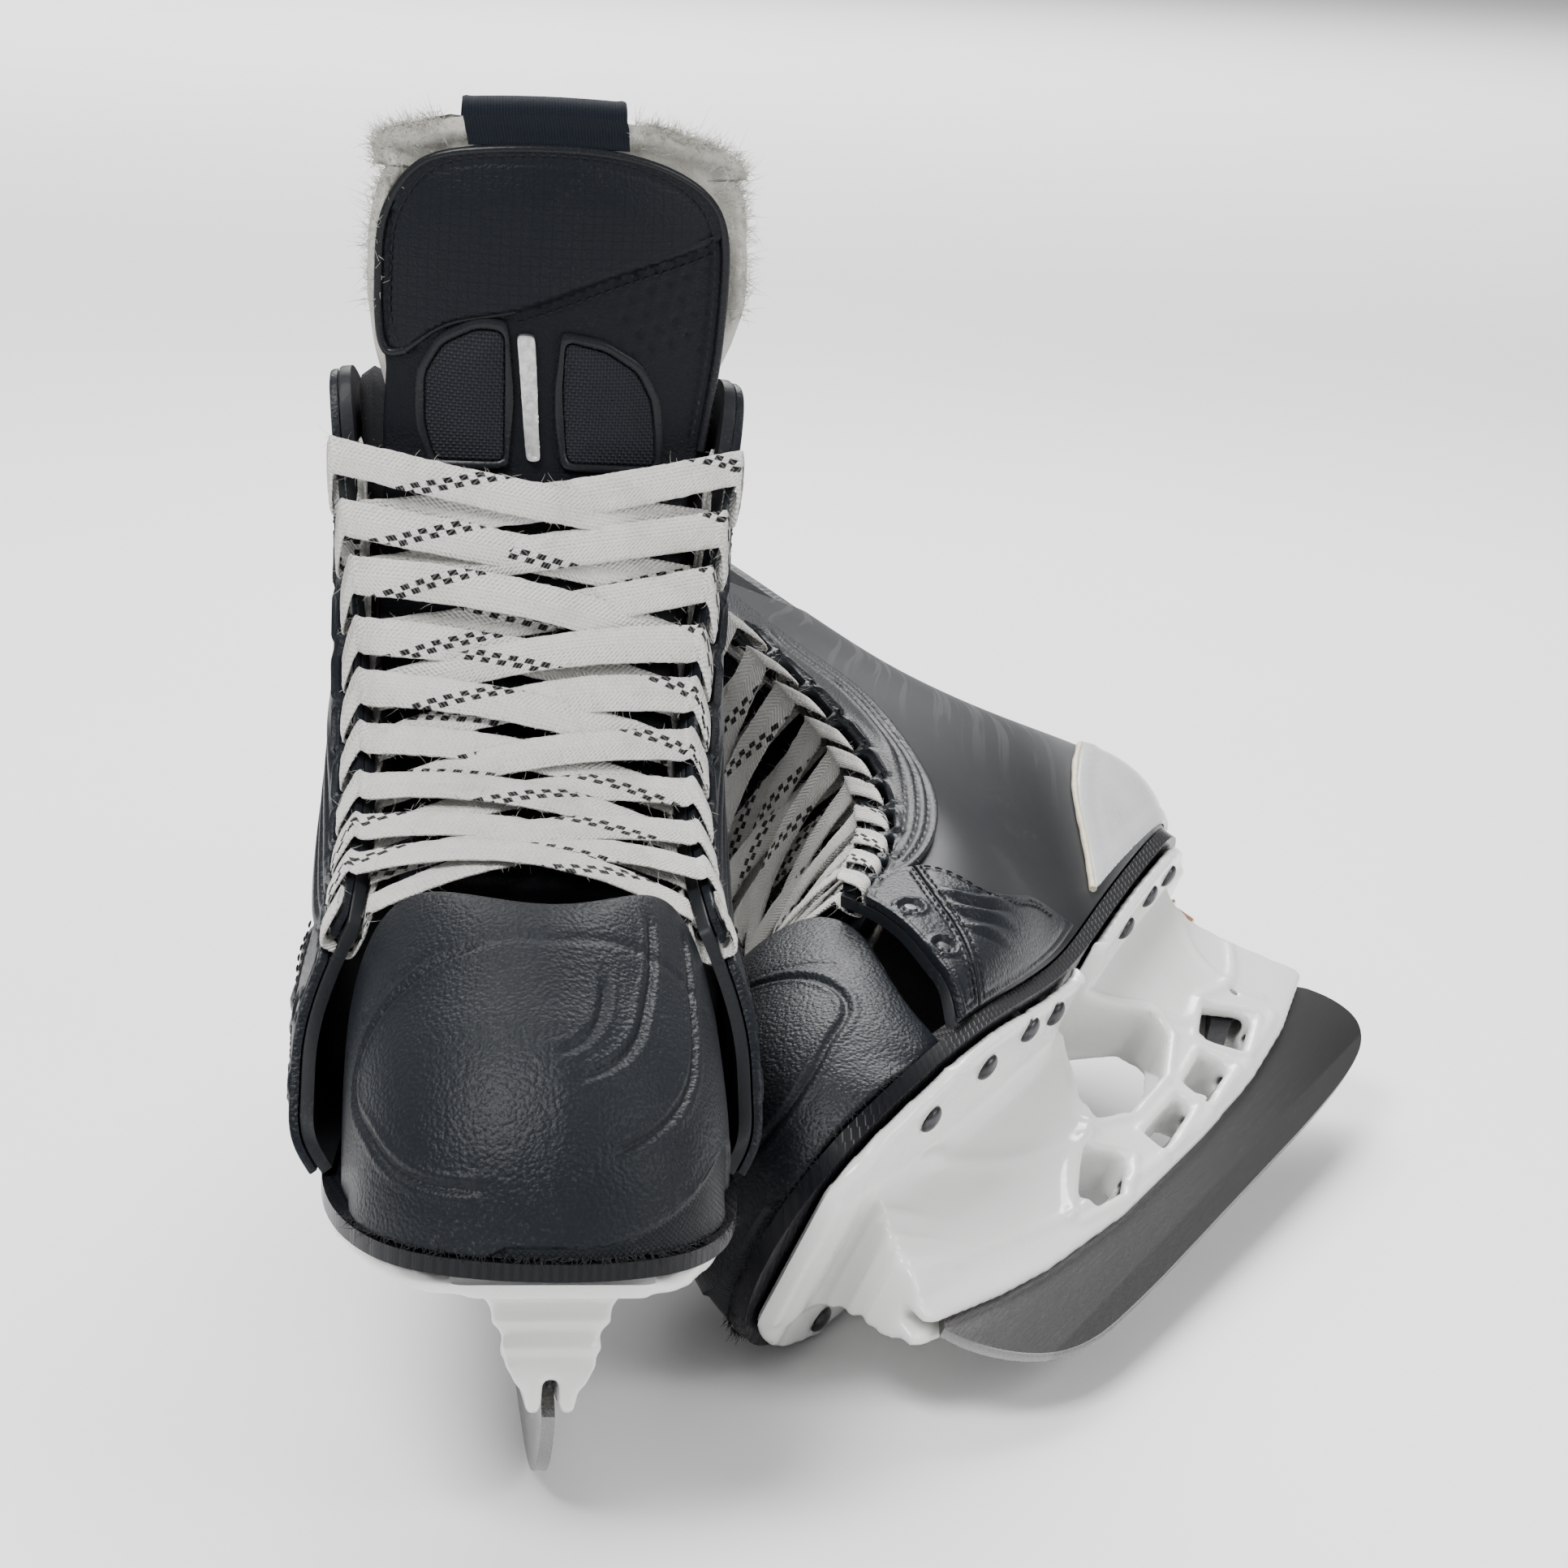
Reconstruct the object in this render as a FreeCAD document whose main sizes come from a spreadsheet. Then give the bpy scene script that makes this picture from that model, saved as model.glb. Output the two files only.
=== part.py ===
"""A pair of hockey skates: the right one stands on its runner, the left one lies on its inner side.

Frame of the right skate: -Y points to the toe, -X to the outer side of the foot, +Z up. The origin is
on the running edge, under the middle of the runner. The left skate is the mirror image of the right
one, laid down beside it. Lengths are in millimetres, angles in degrees.
"""
import FreeCAD, Part
import math
import os

from FreeCAD import Placement, Rotation, Vector

doc = FreeCAD.newDocument("hockey_skates")

# ---------------------------------------------------------------- driving dimensions
DIMENSIONS = {
    "runner_thickness": 3.0,
    "runner_slot_width": 3.6,
    "shell_thickness": 3.0,
    "liner_thickness": 3.0,
    "overlay_thickness": 1.6,
    "layer_gap": 0.4,
    "outsole_thickness": 4.0,
    "footbed_thickness": 4.0,
    "holder_width": 96.0,
    "foot_half_width": 5.0,
    "flange_thickness": 4.0,
    "flange_inset": 2.5,
    "window_depth": 120.0,
    "trim_depth": 400.0,
    "trigger_thickness": 3.6,
    "trigger_bay_width": 6.8,
    "pin_radius": 1.5,
    "pin_length": 13.0,
    "spring_radius": 3.8,
    "spring_bore_radius": 1.9,
    "spring_width": 1.8,
    "rivet_radius": 2.0,
    "rivet_head_radius": 3.6,
    "rivet_head_height": 1.4,
    "rivet_play": 0.1,
    "eyelet_length": 11.0,
    "eyelet_width": 4.6,
    "lace_width": 9.0,
    "lace_thickness": 1.2,
    "tongue_thickness": 3.0,
    "felt_thickness": 6.0,
    "toe_cap_thickness": 3.0,
    "left_offset_x": 191.0,
    "left_offset_y": 15.0,
    "left_offset_z": 17.3,
    "left_yaw": -34.7,
    "left_lean": -66.2,
    "left_pitch": 2.3,
}

sheet = doc.addObject("Spreadsheet::Sheet", "dims")
for row, (alias, value) in enumerate(DIMENSIONS.items(), start=1):
    sheet.set(f"A{row}", alias)
    sheet.set(f"B{row}", str(value))
    sheet.setAlias(f"B{row}", alias)
doc.recompute()


def size(alias):
    """A driving dimension read back from the sheet."""
    return float(sheet.get(alias))


EYELET_COUNT = 10

pieces = []


def keep(item, label):
    """Give a sub-part its own label and remember it for the export."""
    item.Label = label
    pieces.append(item)
    return item


def feature(label, shape):
    """A sub-part whose shape is computed here from the sheet's sizes."""
    item = doc.addObject("Part::Feature", label)
    item.Shape = shape
    item.Placement = Placement(Vector(0, 0, 0), Rotation())
    return keep(item, label)


# ---------------------------------------------------------------- the last: the boot's outer surface
# Eight stations run from the heel's centre line (0) to the edge of the toe cap (7).  Each is a line
# up the side of the boot: where it leaves the sole, where it meets the collar or the throat, and
# the boot's half width on its outer side at six heights.
FOOT_Y = [141, 134, 117, 85, 45, 2, -42, -90]
FOOT_Z = [88, 88, 87, 84, 79, 73, 70, 69]
TOP_Y = [116, 112, 98, 70, 38, 20, -14, -60]
TOP_Z = [205, 206, 209, 216, 225, 172, 133, 118]
HEIGHTS = [0.0, 0.12, 0.3, 0.5, 0.75, 1.0]
HALF_WIDTHS = [
    [0, 0, 0, 0, 0, 0],
    [17, 21, 22, 20, 18, 18],
    [28, 33, 35, 33, 31, 32],
    [31, 36, 40, 41, 40, 42],
    [31, 36, 41, 43, 44, 48],
    [34, 40, 45, 47, 46, 42],
    [42, 49, 52, 52, 48, 40],
    [49, 53, 54, 53.5, 50, 44],
]
INNER_SHARE = [1, 1, 1, 1, 1.05, 1.0, 0.92, 0.87]    # the inner side's width over the outer side's
HEEL_BULGE = [0, 14, 12, 2.5, -2, 0]                 # how far the heel swells backwards, by height
BULGE_SHARE = [1, 0.9, 0.5, 0.1, 0, 0, 0, 0]         # how much of that each station takes


class Spline:
    """Natural cubic spline through values at the given knots."""

    def __init__(self, knots, values):
        self.knots = list(knots)
        self.values = list(values)
        count = len(self.knots)
        step = [b - a for a, b in zip(self.knots, self.knots[1:])]
        upper = [0.0] * count
        bend = [0.0] * count
        for i in range(1, count - 1):
            slope_after = (self.values[i + 1] - self.values[i]) / step[i]
            slope_before = (self.values[i] - self.values[i - 1]) / step[i - 1]
            pivot = 2 * (step[i - 1] + step[i]) - step[i - 1] * upper[i - 1]
            upper[i] = step[i] / pivot
            bend[i] = (6 * (slope_after - slope_before) - step[i - 1] * bend[i - 1]) / pivot
        for i in range(count - 2, 0, -1):
            bend[i] -= upper[i] * bend[i + 1]
        self.step = step
        self.bend = bend

    def __call__(self, at):
        i = 0
        while i < len(self.step) - 1 and at > self.knots[i + 1]:
            i += 1
        after = (at - self.knots[i]) / self.step[i]
        before = 1 - after
        swell = (before ** 3 - before) * self.bend[i] + (after ** 3 - after) * self.bend[i + 1]
        return before * self.values[i] + after * self.values[i + 1] + swell * self.step[i] ** 2 / 6


STATIONS = list(range(-7, 8))


def both_sides(values):
    """Spline over all stations of a value that is the same on the outer and the inner side."""
    return Spline(STATIONS, values[:0:-1] + values)


FOOT_Y_LINE = both_sides(FOOT_Y)
FOOT_Z_LINE = both_sides(FOOT_Z)
TOP_Y_LINE = both_sides(TOP_Y)
TOP_Z_LINE = both_sides(TOP_Z)
BULGE_LINE = both_sides(BULGE_SHARE)
BULGE_BY_HEIGHT = Spline(HEIGHTS, HEEL_BULGE)
WIDTH_LINES = []
for level in range(len(HEIGHTS)):
    outer_side = [-row[level] for row in HALF_WIDTHS]
    inner_side = [row[level] * share for row, share in zip(HALF_WIDTHS, INNER_SHARE)]
    WIDTH_LINES.append(Spline(STATIONS, outer_side[:0:-1] + inner_side))


def last_point(side, height):
    """Point of the boot's outer surface: side -7 (outer toe edge) .. 0 (heel) .. 7 (inner toe edge)."""
    foot_y = FOOT_Y_LINE(side)
    foot_z = FOOT_Z_LINE(side)
    x = Spline(HEIGHTS, [line(side) for line in WIDTH_LINES])(height)
    y = foot_y + (TOP_Y_LINE(side) - foot_y) * height + BULGE_BY_HEIGHT(height) * BULGE_LINE(side)
    z = foot_z + (TOP_Z_LINE(side) - foot_z) * height
    return Vector(x, y, z)


def normal_of(surface_point, a, b, outward_hint):
    """Unit normal of a parametric surface, turned towards the hint's side."""
    step = 0.01
    along_a = surface_point(a + step, b) - surface_point(a - step, b)
    along_b = surface_point(a, b + step) - surface_point(a, b - step)
    normal = along_a.cross(along_b)
    normal.normalize()
    if normal.dot(outward_hint) < 0:
        normal = normal * -1
    return normal


def boot_normal(side, height):
    """Outward normal of the boot at a station and height."""
    point = last_point(side, height)
    hint = Vector(point.x, (point.y - 60) * 0.5 if point.y > 60 else 0, 0)
    if abs(side) < 0.5:
        hint = Vector(0, 1, 0)
    return normal_of(last_point, side, height, hint)


def boot_offset(side, height, distance):
    """Point at a distance outside the boot's outer surface."""
    return last_point(side, height) + boot_normal(side, height) * distance


def thick_grid(outer, inner):
    """Closed solid between two matching grids of points."""
    skins = []
    for grid in (outer, inner):
        skin = Part.BSplineSurface()
        skin.interpolate(grid)
        skins.append(skin)
    faces = [skin.toShape() for skin in skins]
    bounds = [skin.bounds() for skin in skins]
    for k in (0, 1):
        edges = [skin.uIso(bound[k]).toShape() for skin, bound in zip(skins, bounds)]
        faces.append(Part.makeRuledSurface(edges[0], edges[1]))
    for k in (2, 3):
        edges = [skin.vIso(bound[k]).toShape() for skin, bound in zip(skins, bounds)]
        faces.append(Part.makeRuledSurface(edges[0], edges[1]))
    shell = Part.makeShell([face for item in faces for face in item.Faces])
    shell.sewShape()
    solid = Part.makeSolid(Part.Shell(shell.Faces))
    if solid.Volume < 0:
        solid.reverse()
    return solid


def boot_layer(first, last, lower, upper, inside, outside, columns=15, rows=7):
    """Solid layer on the boot from station to station, between two heights given as functions."""
    outer = []
    inner = []
    for i in range(columns):
        side = first + (last - first) * i / (columns - 1)
        low = lower(side)
        high = upper(side)
        levels = [low + (high - low) * j / (rows - 1) for j in range(rows)]
        outer.append([boot_offset(side, level, outside) for level in levels])
        inner.append([boot_offset(side, level, inside) for level in levels])
    return thick_grid(outer, inner)


def level_line(table):
    """Height as a smooth function of the distance from the heel in stations: [(station, height)]."""
    stations = [row[0] for row in table]
    heights = [row[1] for row in table]
    line = Spline(stations, heights)
    return lambda side: line(min(max(abs(side), stations[0]), stations[-1]))


def always(height):
    """The same height all along."""
    return lambda side: height


# ---------------------------------------------------------------- eyelets
THROAT_TOP_STATION = 4.42
THROAT_BOTTOM_STATION = 6.86
EYELET_SETBACK = 9.0        # from the throat's edge to the middle of a slot
SHELL = size("shell_thickness")
LINER = size("liner_thickness")
GAP = size("layer_gap")
OVERLAY = size("overlay_thickness")


def throat_stations():
    """Stations on the throat's edge of the eyelet rows, evenly spaced along the edge from the top."""
    samples = 80
    reach = THROAT_BOTTOM_STATION - THROAT_TOP_STATION
    stations = [THROAT_TOP_STATION + reach * i / samples for i in range(samples + 1)]
    points = [last_point(s, 1.0) for s in stations]
    length = [0.0]
    for a, b in zip(points, points[1:]):
        length.append(length[-1] + (b - a).Length)
    rows = []
    for row in range(EYELET_COUNT):
        target = length[-1] * row / (EYELET_COUNT - 1)
        nearest = min(range(samples + 1), key=lambda i: abs(length[i] - target))
        rows.append(stations[nearest])
    return rows


THROAT_STATIONS = throat_stations()


def eyelet_frame(row, sign):
    """Throat edge and slot centre of an eyelet, each with its normal, and the edge's two directions."""
    side = sign * THROAT_STATIONS[row]
    edge = last_point(side, 1.0)
    along = last_point(side + 0.05 * sign, 1.0) - last_point(side - 0.05 * sign, 1.0)
    along.normalize()
    height = 1.0
    while (last_point(side, height) - edge).Length < EYELET_SETBACK:
        height -= 0.002
    slot = last_point(side, height)
    slot_normal = boot_normal(side, height)
    away = slot - edge
    away = away - along * away.dot(along)
    away = away - slot_normal * away.dot(slot_normal)
    away.normalize()
    return edge, boot_normal(side, 0.985), slot, slot_normal, along, away


def eyelet_cutters(sign):
    """Rounded-slot cutters for every eyelet of one side."""
    length = size("eyelet_length")
    width = size("eyelet_width")
    depth = 14.0
    cutters = []
    for row in range(EYELET_COUNT):
        edge, edge_normal, centre, normal, along, away = eyelet_frame(row, sign)
        slot = Part.makeBox(length, width, depth, Vector(-length / 2, -width / 2, -depth / 2))
        slot = slot.makeFillet(width * 0.45, [e for e in slot.Edges if abs(e.tangentAt(0).z) > 0.9])
        turn = FreeCAD.Matrix(along.x, away.x, normal.x, centre.x,
                              along.y, away.y, normal.y, centre.y,
                              along.z, away.z, normal.z, centre.z,
                              0, 0, 0, 1)
        slot.Placement = Placement(turn)
        cutters.append(slot)
    return cutters



# ---------------------------------------------------------------- sole lines shared by several pieces
TOE_Y = -148.0
TOE_START_Y = -112.0        # where the outline begins to round in to the toe
TOE_OUTER = 43.5
TOE_INNER = 38.5
SOLE_LINE = [(-152, 74.5), (-125, 70.5), (-90, 69), (-42, 70), (2, 73), (45, 79), (85, 84), (117, 87),
             (146, 88)]
SOLE = Spline([p[0] for p in SOLE_LINE], [p[1] for p in SOLE_LINE])


def plan_outline(inset):
    """Outline of the sole seen from above, as points (x, y) in order, moved inwards by an inset."""
    outer = [(-row[0] + inset, y) for row, y in zip(HALF_WIDTHS, FOOT_Y)][1:]
    inner = [(row[0] * share - inset, y) for row, share, y in zip(HALF_WIDTHS, INNER_SHARE, FOOT_Y)][1:]
    toe = []
    for degrees in (72, 48, 24, 0, -24, -48, -72):
        turn = math.radians(degrees)
        reach = TOE_OUTER if degrees > 0 else TOE_INNER
        toe.append((-(reach - inset) * math.sin(turn),
                    TOE_START_Y + (TOE_Y - TOE_START_Y + inset) * math.cos(turn)))
    return [(0, FOOT_Y[0] - inset)] + outer + toe + inner[::-1]


def plane_of(body, role):
    """One of a body's own origin planes."""
    return next(f for f in body.Origin.OriginFeatures if f.Role == role)


def sketch_on(body, name, role, shift=0.0):
    """New sketch on an origin plane of its body, moved along the plane's normal."""
    sketch = body.newObject("Sketcher::SketchObject", name)
    sketch.AttachmentSupport = (plane_of(body, role), [""])
    sketch.MapMode = "FlatFace"
    sketch.AttachmentOffset = Placement(Vector(0, 0, shift), Rotation())
    return sketch


def add_rounded_loop(sketch, points, radius):
    """Closed loop of straight lines whose corners are rounded with tangent arcs."""
    count = len(points)
    corners = [Vector(p[0], p[1], 0) for p in points]
    stops = []
    for i, corner in enumerate(corners):
        before = corners[i - 1] - corner
        after = corners[(i + 1) % count] - corner
        half = before.getAngle(after) / 2
        reach = min(radius / math.tan(half), before.Length * 0.45, after.Length * 0.45)
        before.normalize()
        after.normalize()
        stops.append((corner + before * reach, corner, corner + after * reach, half, reach))
    for i, (start, corner, end, half, reach) in enumerate(stops):
        bow = reach * math.tan(half)
        inward = (start + end) * 0.5 - corner
        inward.normalize()
        middle = corner + inward * (reach / math.cos(half) - bow)
        sketch.addGeometry(Part.Arc(start, middle, end), False)
        following = stops[(i + 1) % count][0]
        if (following - end).Length > 1e-4:
            sketch.addGeometry(Part.LineSegment(end, following), False)


def add_smooth_loop(sketch, points):
    """Closed smooth curve through points."""
    curve = Part.BSplineCurve()
    curve.interpolate([Vector(p[0], p[1], 0) for p in points], PeriodicFlag=True)
    sketch.addGeometry(curve, False)


def add_box(sketch, x0, y0, x1, y1):
    """Rectangle drawn as four lines."""
    corners = [Vector(x0, y0, 0), Vector(x1, y0, 0), Vector(x1, y1, 0), Vector(x0, y1, 0)]
    for a, b in zip(corners, corners[1:] + corners[:1]):
        sketch.addGeometry(Part.LineSegment(a, b), False)


def symmetric(feature_object, alias):
    """Make a pad or pocket reach equally both ways from its sketch, with its length from the sheet."""
    if hasattr(feature_object, "SideType"):
        feature_object.SideType = "Symmetric"
    else:
        feature_object.Midplane = True
    feature_object.setExpression("Length", f"dims.{alias}")


def pad(body, sketch, alias):
    """Symmetric pad of a sketch."""
    result = body.newObject("PartDesign::Pad", "Pad")
    result.Profile = sketch
    symmetric(result, alias)
    sketch.Visibility = False
    return result


def pocket(body, sketch, alias):
    """Symmetric pocket of a sketch, checked to have removed material."""
    doc.recompute()
    before = body.Shape.Volume
    result = body.newObject("PartDesign::Pocket", "Pocket")
    result.Profile = sketch
    symmetric(result, alias)
    doc.recompute()
    if body.Shape.Volume > before - 1e-3:
        raise RuntimeError(f"{sketch.Label} removed nothing")
    return result


def band_loop(upper_shift, lower_shift):
    """Side view of a layer that follows the sole line, between two shifts from it."""
    ys = [y for y, _ in SOLE_LINE]
    top = [(y, SOLE(y) + upper_shift) for y in ys]
    bottom = [(y, SOLE(y) + lower_shift) for y in ys]
    return top, bottom


def add_band(sketch, upper_shift, lower_shift):
    """Closed loop of a curved layer: two smooth edges joined by two short lines."""
    top, bottom = band_loop(upper_shift, lower_shift)
    for edge in (top, bottom):
        curve = Part.BSplineCurve()
        curve.interpolate([Vector(p[0], p[1], 0) for p in edge])
        sketch.addGeometry(curve, False)
    for a, b in ((top[0], bottom[0]), (top[-1], bottom[-1])):
        sketch.addGeometry(Part.LineSegment(Vector(a[0], a[1], 0), Vector(b[0], b[1], 0)), False)


def sole_layer(label, upper_shift, lower_shift, inset):
    """Curved plate under the foot, cut to the sole's outline."""
    body = doc.addObject("PartDesign::Body", label)
    side_view = sketch_on(body, f"{label}_side", "YZ_Plane")
    add_band(side_view, upper_shift, lower_shift)
    pad(body, side_view, "window_depth")
    trim = sketch_on(body, f"{label}_outline", "XY_Plane")
    add_box(trim, -150, -200, 150, 200)
    add_smooth_loop(trim, plan_outline(inset))
    pocket(body, trim, "trim_depth")
    return keep(body, label)


OUTSOLE_TOP = -GAP
OUTSOLE_BOTTOM = OUTSOLE_TOP - size("outsole_thickness")
HOLDER_TOP = OUTSOLE_BOTTOM - 0.8
FOOTBED_BOTTOM = 1.6
FOOTBED_TOP = FOOTBED_BOTTOM + size("footbed_thickness")

RIVETS_FRONT = [(-108, 34, 31), (-80, 38.5, 33.5), (-52, 38.5, 33.5), (-26, 32.5, 30)]
RIVETS_REAR = [(62, 21, 21), (86, 22, 22), (110, 19.5, 19.5)]
RIVET_SPOTS = []
for rivet_y, outer_x, inner_x in RIVETS_FRONT + RIVETS_REAR:
    RIVET_SPOTS += [(-outer_x, rivet_y), (inner_x, rivet_y)]
COPPER_SPOT = (0, 131)


def drill_rivets(body, label):
    """Rivet holes through a body."""
    holes = sketch_on(body, f"{label}_holes", "XY_Plane")
    radius = size("rivet_radius") + size("rivet_play")
    for x, y in RIVET_SPOTS + [COPPER_SPOT]:
        holes.addGeometry(Part.Circle(Vector(x, y, 0), Vector(0, 0, 1), radius), False)
    pocket(body, holes, "trim_depth")


outsole = sole_layer("right_outsole", OUTSOLE_TOP, OUTSOLE_BOTTOM, 0.0)
drill_rivets(outsole, "right_outsole")
sole_layer("right_footbed", FOOTBED_TOP, FOOTBED_BOTTOM, 9.0)

# ---------------------------------------------------------------- blade holder
HOLDER_BOTTOM_LINE = [(-133, 32), (-107, 25), (-83, 21), (-40, 17.4), (17, 17.2), (61, 19), (99, 23.3),
                      (136, 31)]
HOLDER_BOTTOM = Spline([p[0] for p in HOLDER_BOTTOM_LINE], [p[1] for p in HOLDER_BOTTOM_LINE])
# the towers' half width at depths below the flange: front tower, rear tower
TOWER_DEPTHS = [4.2, 9.0, 17.0, 28.0]
FRONT_WIDTHS = [20.0, 15.0, 11.0, 8.0]
REAR_WIDTHS = [13.5, 11.0, 9.5, 8.0]
SECTION_YS = [-142, -120, -92, -60, -28, 5, 40, 78, 112, 139]


def holder_section(y):
    """Half section of the holder at a place along it, from the flange's top down."""
    top = SOLE(y) + HOLDER_TOP
    low = HOLDER_BOTTOM(min(max(y, -133), 136))
    share = min(max((y + 40) / 60, 0), 1)
    flange = size("holder_width") / 2
    points = [(flange, top), (flange, top - size("flange_thickness"))]
    for depth, front, rear in zip(TOWER_DEPTHS, FRONT_WIDTHS, REAR_WIDTHS):
        points.append((front + (rear - front) * share, top - depth))
    points.append((size("foot_half_width") + 1, low + 6))
    points.append((size("foot_half_width"), low))
    return points


HOLDER_SIDE = [(-141, 90), (-141, 62), (-123, 60), (-127, 48.5), (-131.5, 39), (-133.5, 33), (-130, 30.5),
               (-107, 25), (-83, 21), (-40, 17.4), (17, 17.2), (61, 19), (99, 23.3), (135, 30.8),
               (136.5, 33.5), (131, 40), (122, 53), (114.5, 66), (117, 76), (138, 77.6), (138, 95)]
WINDOWS = [
    ([(6.5, 71), (-7, 54.5), (-21, 42), (0, 35.5), (28, 37), (49, 44.5), (53, 52.5), (30, 66.5), (19, 73),
      (19, 80), (6.5, 80)], 5.0),
    ([(-59, 25.3), (-31, 36.8), (-18, 27.5), (-35, 21.8)], 3.0),
    ([(-5, 28.5), (23, 29.8), (25, 25.3), (-5, 22)], 1.8),
    ([(31, 31.2), (52.5, 34), (57.5, 26), (31, 23.2)], 2.2),
    ([(58.5, 37.6), (76, 43.5), (91.5, 31.8), (68.5, 26.6)], 2.6),
]
BAY = [(59, 35), (59, 41), (76, 47), (92, 50), (103.5, 46), (103.5, 36), (91, 33), (75, 29.5), (66, 28)]
PIN_Y, PIN_Z = 96.0, 41.0

RUNNER_EDGE = [(-128, 29), (-126, 23), (-119, 13.5), (-110, 7), (-97, 2.6), (-76, 0.6), (-50, 0), (55, 0),
               (92, 0.8), (118, 3), (132, 6.8), (139, 12.5), (140, 20), (136.5, 28)]
RUNNER_TOP = [(128, 35.5), (111, 32.6), (111, 37), (105, 37), (104, 31.2), (61, 25.8), (17, 24), (-40, 24),
              (-83, 27.5), (-92, 29.6), (-93, 38), (-101, 38), (-103, 31.5), (-118, 34.5)]
SLOT_LIFT = 1.6      # air over the runner's tang inside the holder

holder = doc.addObject("PartDesign::Body", "right_blade_holder")
sections = []
for index, section_y in enumerate(SECTION_YS):
    outline = sketch_on(holder, f"holder_section_{index}", "XZ_Plane", -section_y)
    half = holder_section(section_y)
    loop = half + [(-x, z) for x, z in half[::-1]]
    for start, end in zip(loop, loop[1:] + loop[:1]):
        outline.addGeometry(Part.LineSegment(Vector(start[0], start[1], 0), Vector(end[0], end[1], 0)), False)
    sections.append(outline)
loft = holder.newObject("PartDesign::AdditiveLoft", "Towers")
loft.Profile = sections[0]
loft.Sections = sections[1:]
loft.Ruled = False
doc.recompute()
side_trim = sketch_on(holder, "holder_side", "YZ_Plane")
add_box(side_trim, -220, -60, 220, 160)
for start, end in zip(HOLDER_SIDE, HOLDER_SIDE[1:] + HOLDER_SIDE[:1]):
    side_trim.addGeometry(Part.LineSegment(Vector(start[0], start[1], 0), Vector(end[0], end[1], 0)), False)
pocket(holder, side_trim, "window_depth")
window_sketch = sketch_on(holder, "holder_windows", "YZ_Plane")
for loop, radius in WINDOWS:
    add_rounded_loop(window_sketch, loop, radius)
pocket(holder, window_sketch, "window_depth")
flange_trim = sketch_on(holder, "holder_flange", "XY_Plane")
add_box(flange_trim, -150, -200, 150, 200)
add_smooth_loop(flange_trim, plan_outline(size("flange_inset")))
pocket(holder, flange_trim, "trim_depth")
slot_sketch = sketch_on(holder, "runner_slot", "YZ_Plane")
slot_loop = [(-140, 10), (140, 10), (140, 40)] + [(y, z + SLOT_LIFT) for y, z in RUNNER_TOP[:1]]
slot_loop += [(113, 34.4), (113, 39), (103.5, 39), (102.5, 32.8), (61, 27.2), (17, 25.4), (-40, 25.4),
              (-83, 29), (-90.5, 31), (-91, 40), (-103, 40), (-104.5, 34), (-140, 41)]
for start, end in zip(slot_loop, slot_loop[1:] + slot_loop[:1]):
    slot_sketch.addGeometry(Part.LineSegment(Vector(start[0], start[1], 0), Vector(end[0], end[1], 0)), False)
pocket(holder, slot_sketch, "runner_slot_width")
bay_sketch = sketch_on(holder, "trigger_bay", "YZ_Plane")
add_rounded_loop(bay_sketch, BAY, 1.5)
pocket(holder, bay_sketch, "trigger_bay_width")
bore_sketch = sketch_on(holder, "pin_bore", "YZ_Plane")
bore_sketch.addGeometry(Part.Circle(Vector(PIN_Y, PIN_Z, 0), Vector(0, 0, 1), size("pin_radius")), False)
pocket(holder, bore_sketch, "window_depth")
drill_rivets(holder, "right_blade_holder")
keep(holder, "right_blade_holder")

# ---------------------------------------------------------------- runner, trigger, pin, spring
runner = doc.addObject("PartDesign::Body", "right_runner")
runner_sketch = sketch_on(runner, "runner_side", "YZ_Plane")
curve_front = Part.BSplineCurve()
curve_front.interpolate([Vector(y, z, 0) for y, z in RUNNER_EDGE[:7]])
curve_rear = Part.BSplineCurve()
curve_rear.interpolate([Vector(y, z, 0) for y, z in RUNNER_EDGE[7:]])
runner_sketch.addGeometry(curve_front, False)
runner_sketch.addGeometry(Part.LineSegment(Vector(*RUNNER_EDGE[6], 0), Vector(*RUNNER_EDGE[7], 0)), False)
runner_sketch.addGeometry(curve_rear, False)
runner_back = [RUNNER_EDGE[-1]] + RUNNER_TOP + [RUNNER_EDGE[0]]
for start, end in zip(runner_back, runner_back[1:]):
    edge = Part.LineSegment(Vector(start[0], start[1], 0), Vector(end[0], end[1], 0))
    runner_sketch.addGeometry(edge, False)
pad(runner, runner_sketch, "runner_thickness")
keep(runner, "right_runner")

TRIGGER_LOOP = [(97, 45.8), (90, 44), (78, 39.6), (66, 36.2), (63.2, 33.5), (66, 31.2), (80, 34.2),
                (91, 36.8),
                (97, 36.8), (101, 41)]
TRIGGER_X = -1.2     # the trigger sits to one side of its bay and the spring to the other
trigger = doc.addObject("PartDesign::Body", "right_trigger")
trigger_sketch = sketch_on(trigger, "trigger_side", "YZ_Plane", TRIGGER_X)
add_rounded_loop(trigger_sketch, TRIGGER_LOOP, 2.0)
trigger_bore = Part.Circle(Vector(PIN_Y, PIN_Z, 0), Vector(0, 0, 1), size("pin_radius") + 0.3)
trigger_sketch.addGeometry(trigger_bore, False)
pad(trigger, trigger_sketch, "trigger_thickness")
keep(trigger, "right_trigger")


def across_cylinder(label, radius_alias, length_alias, start_x, y, z):
    """Cylinder lying across the skate, bound to the sheet."""
    item = doc.addObject("Part::Cylinder", label)
    item.setExpression("Radius", f"dims.{radius_alias}")
    item.setExpression("Height", f"dims.{length_alias}")
    item.Placement = Placement(Vector(start_x, y, z), Rotation(Vector(0, 1, 0), 90))
    return item


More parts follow.
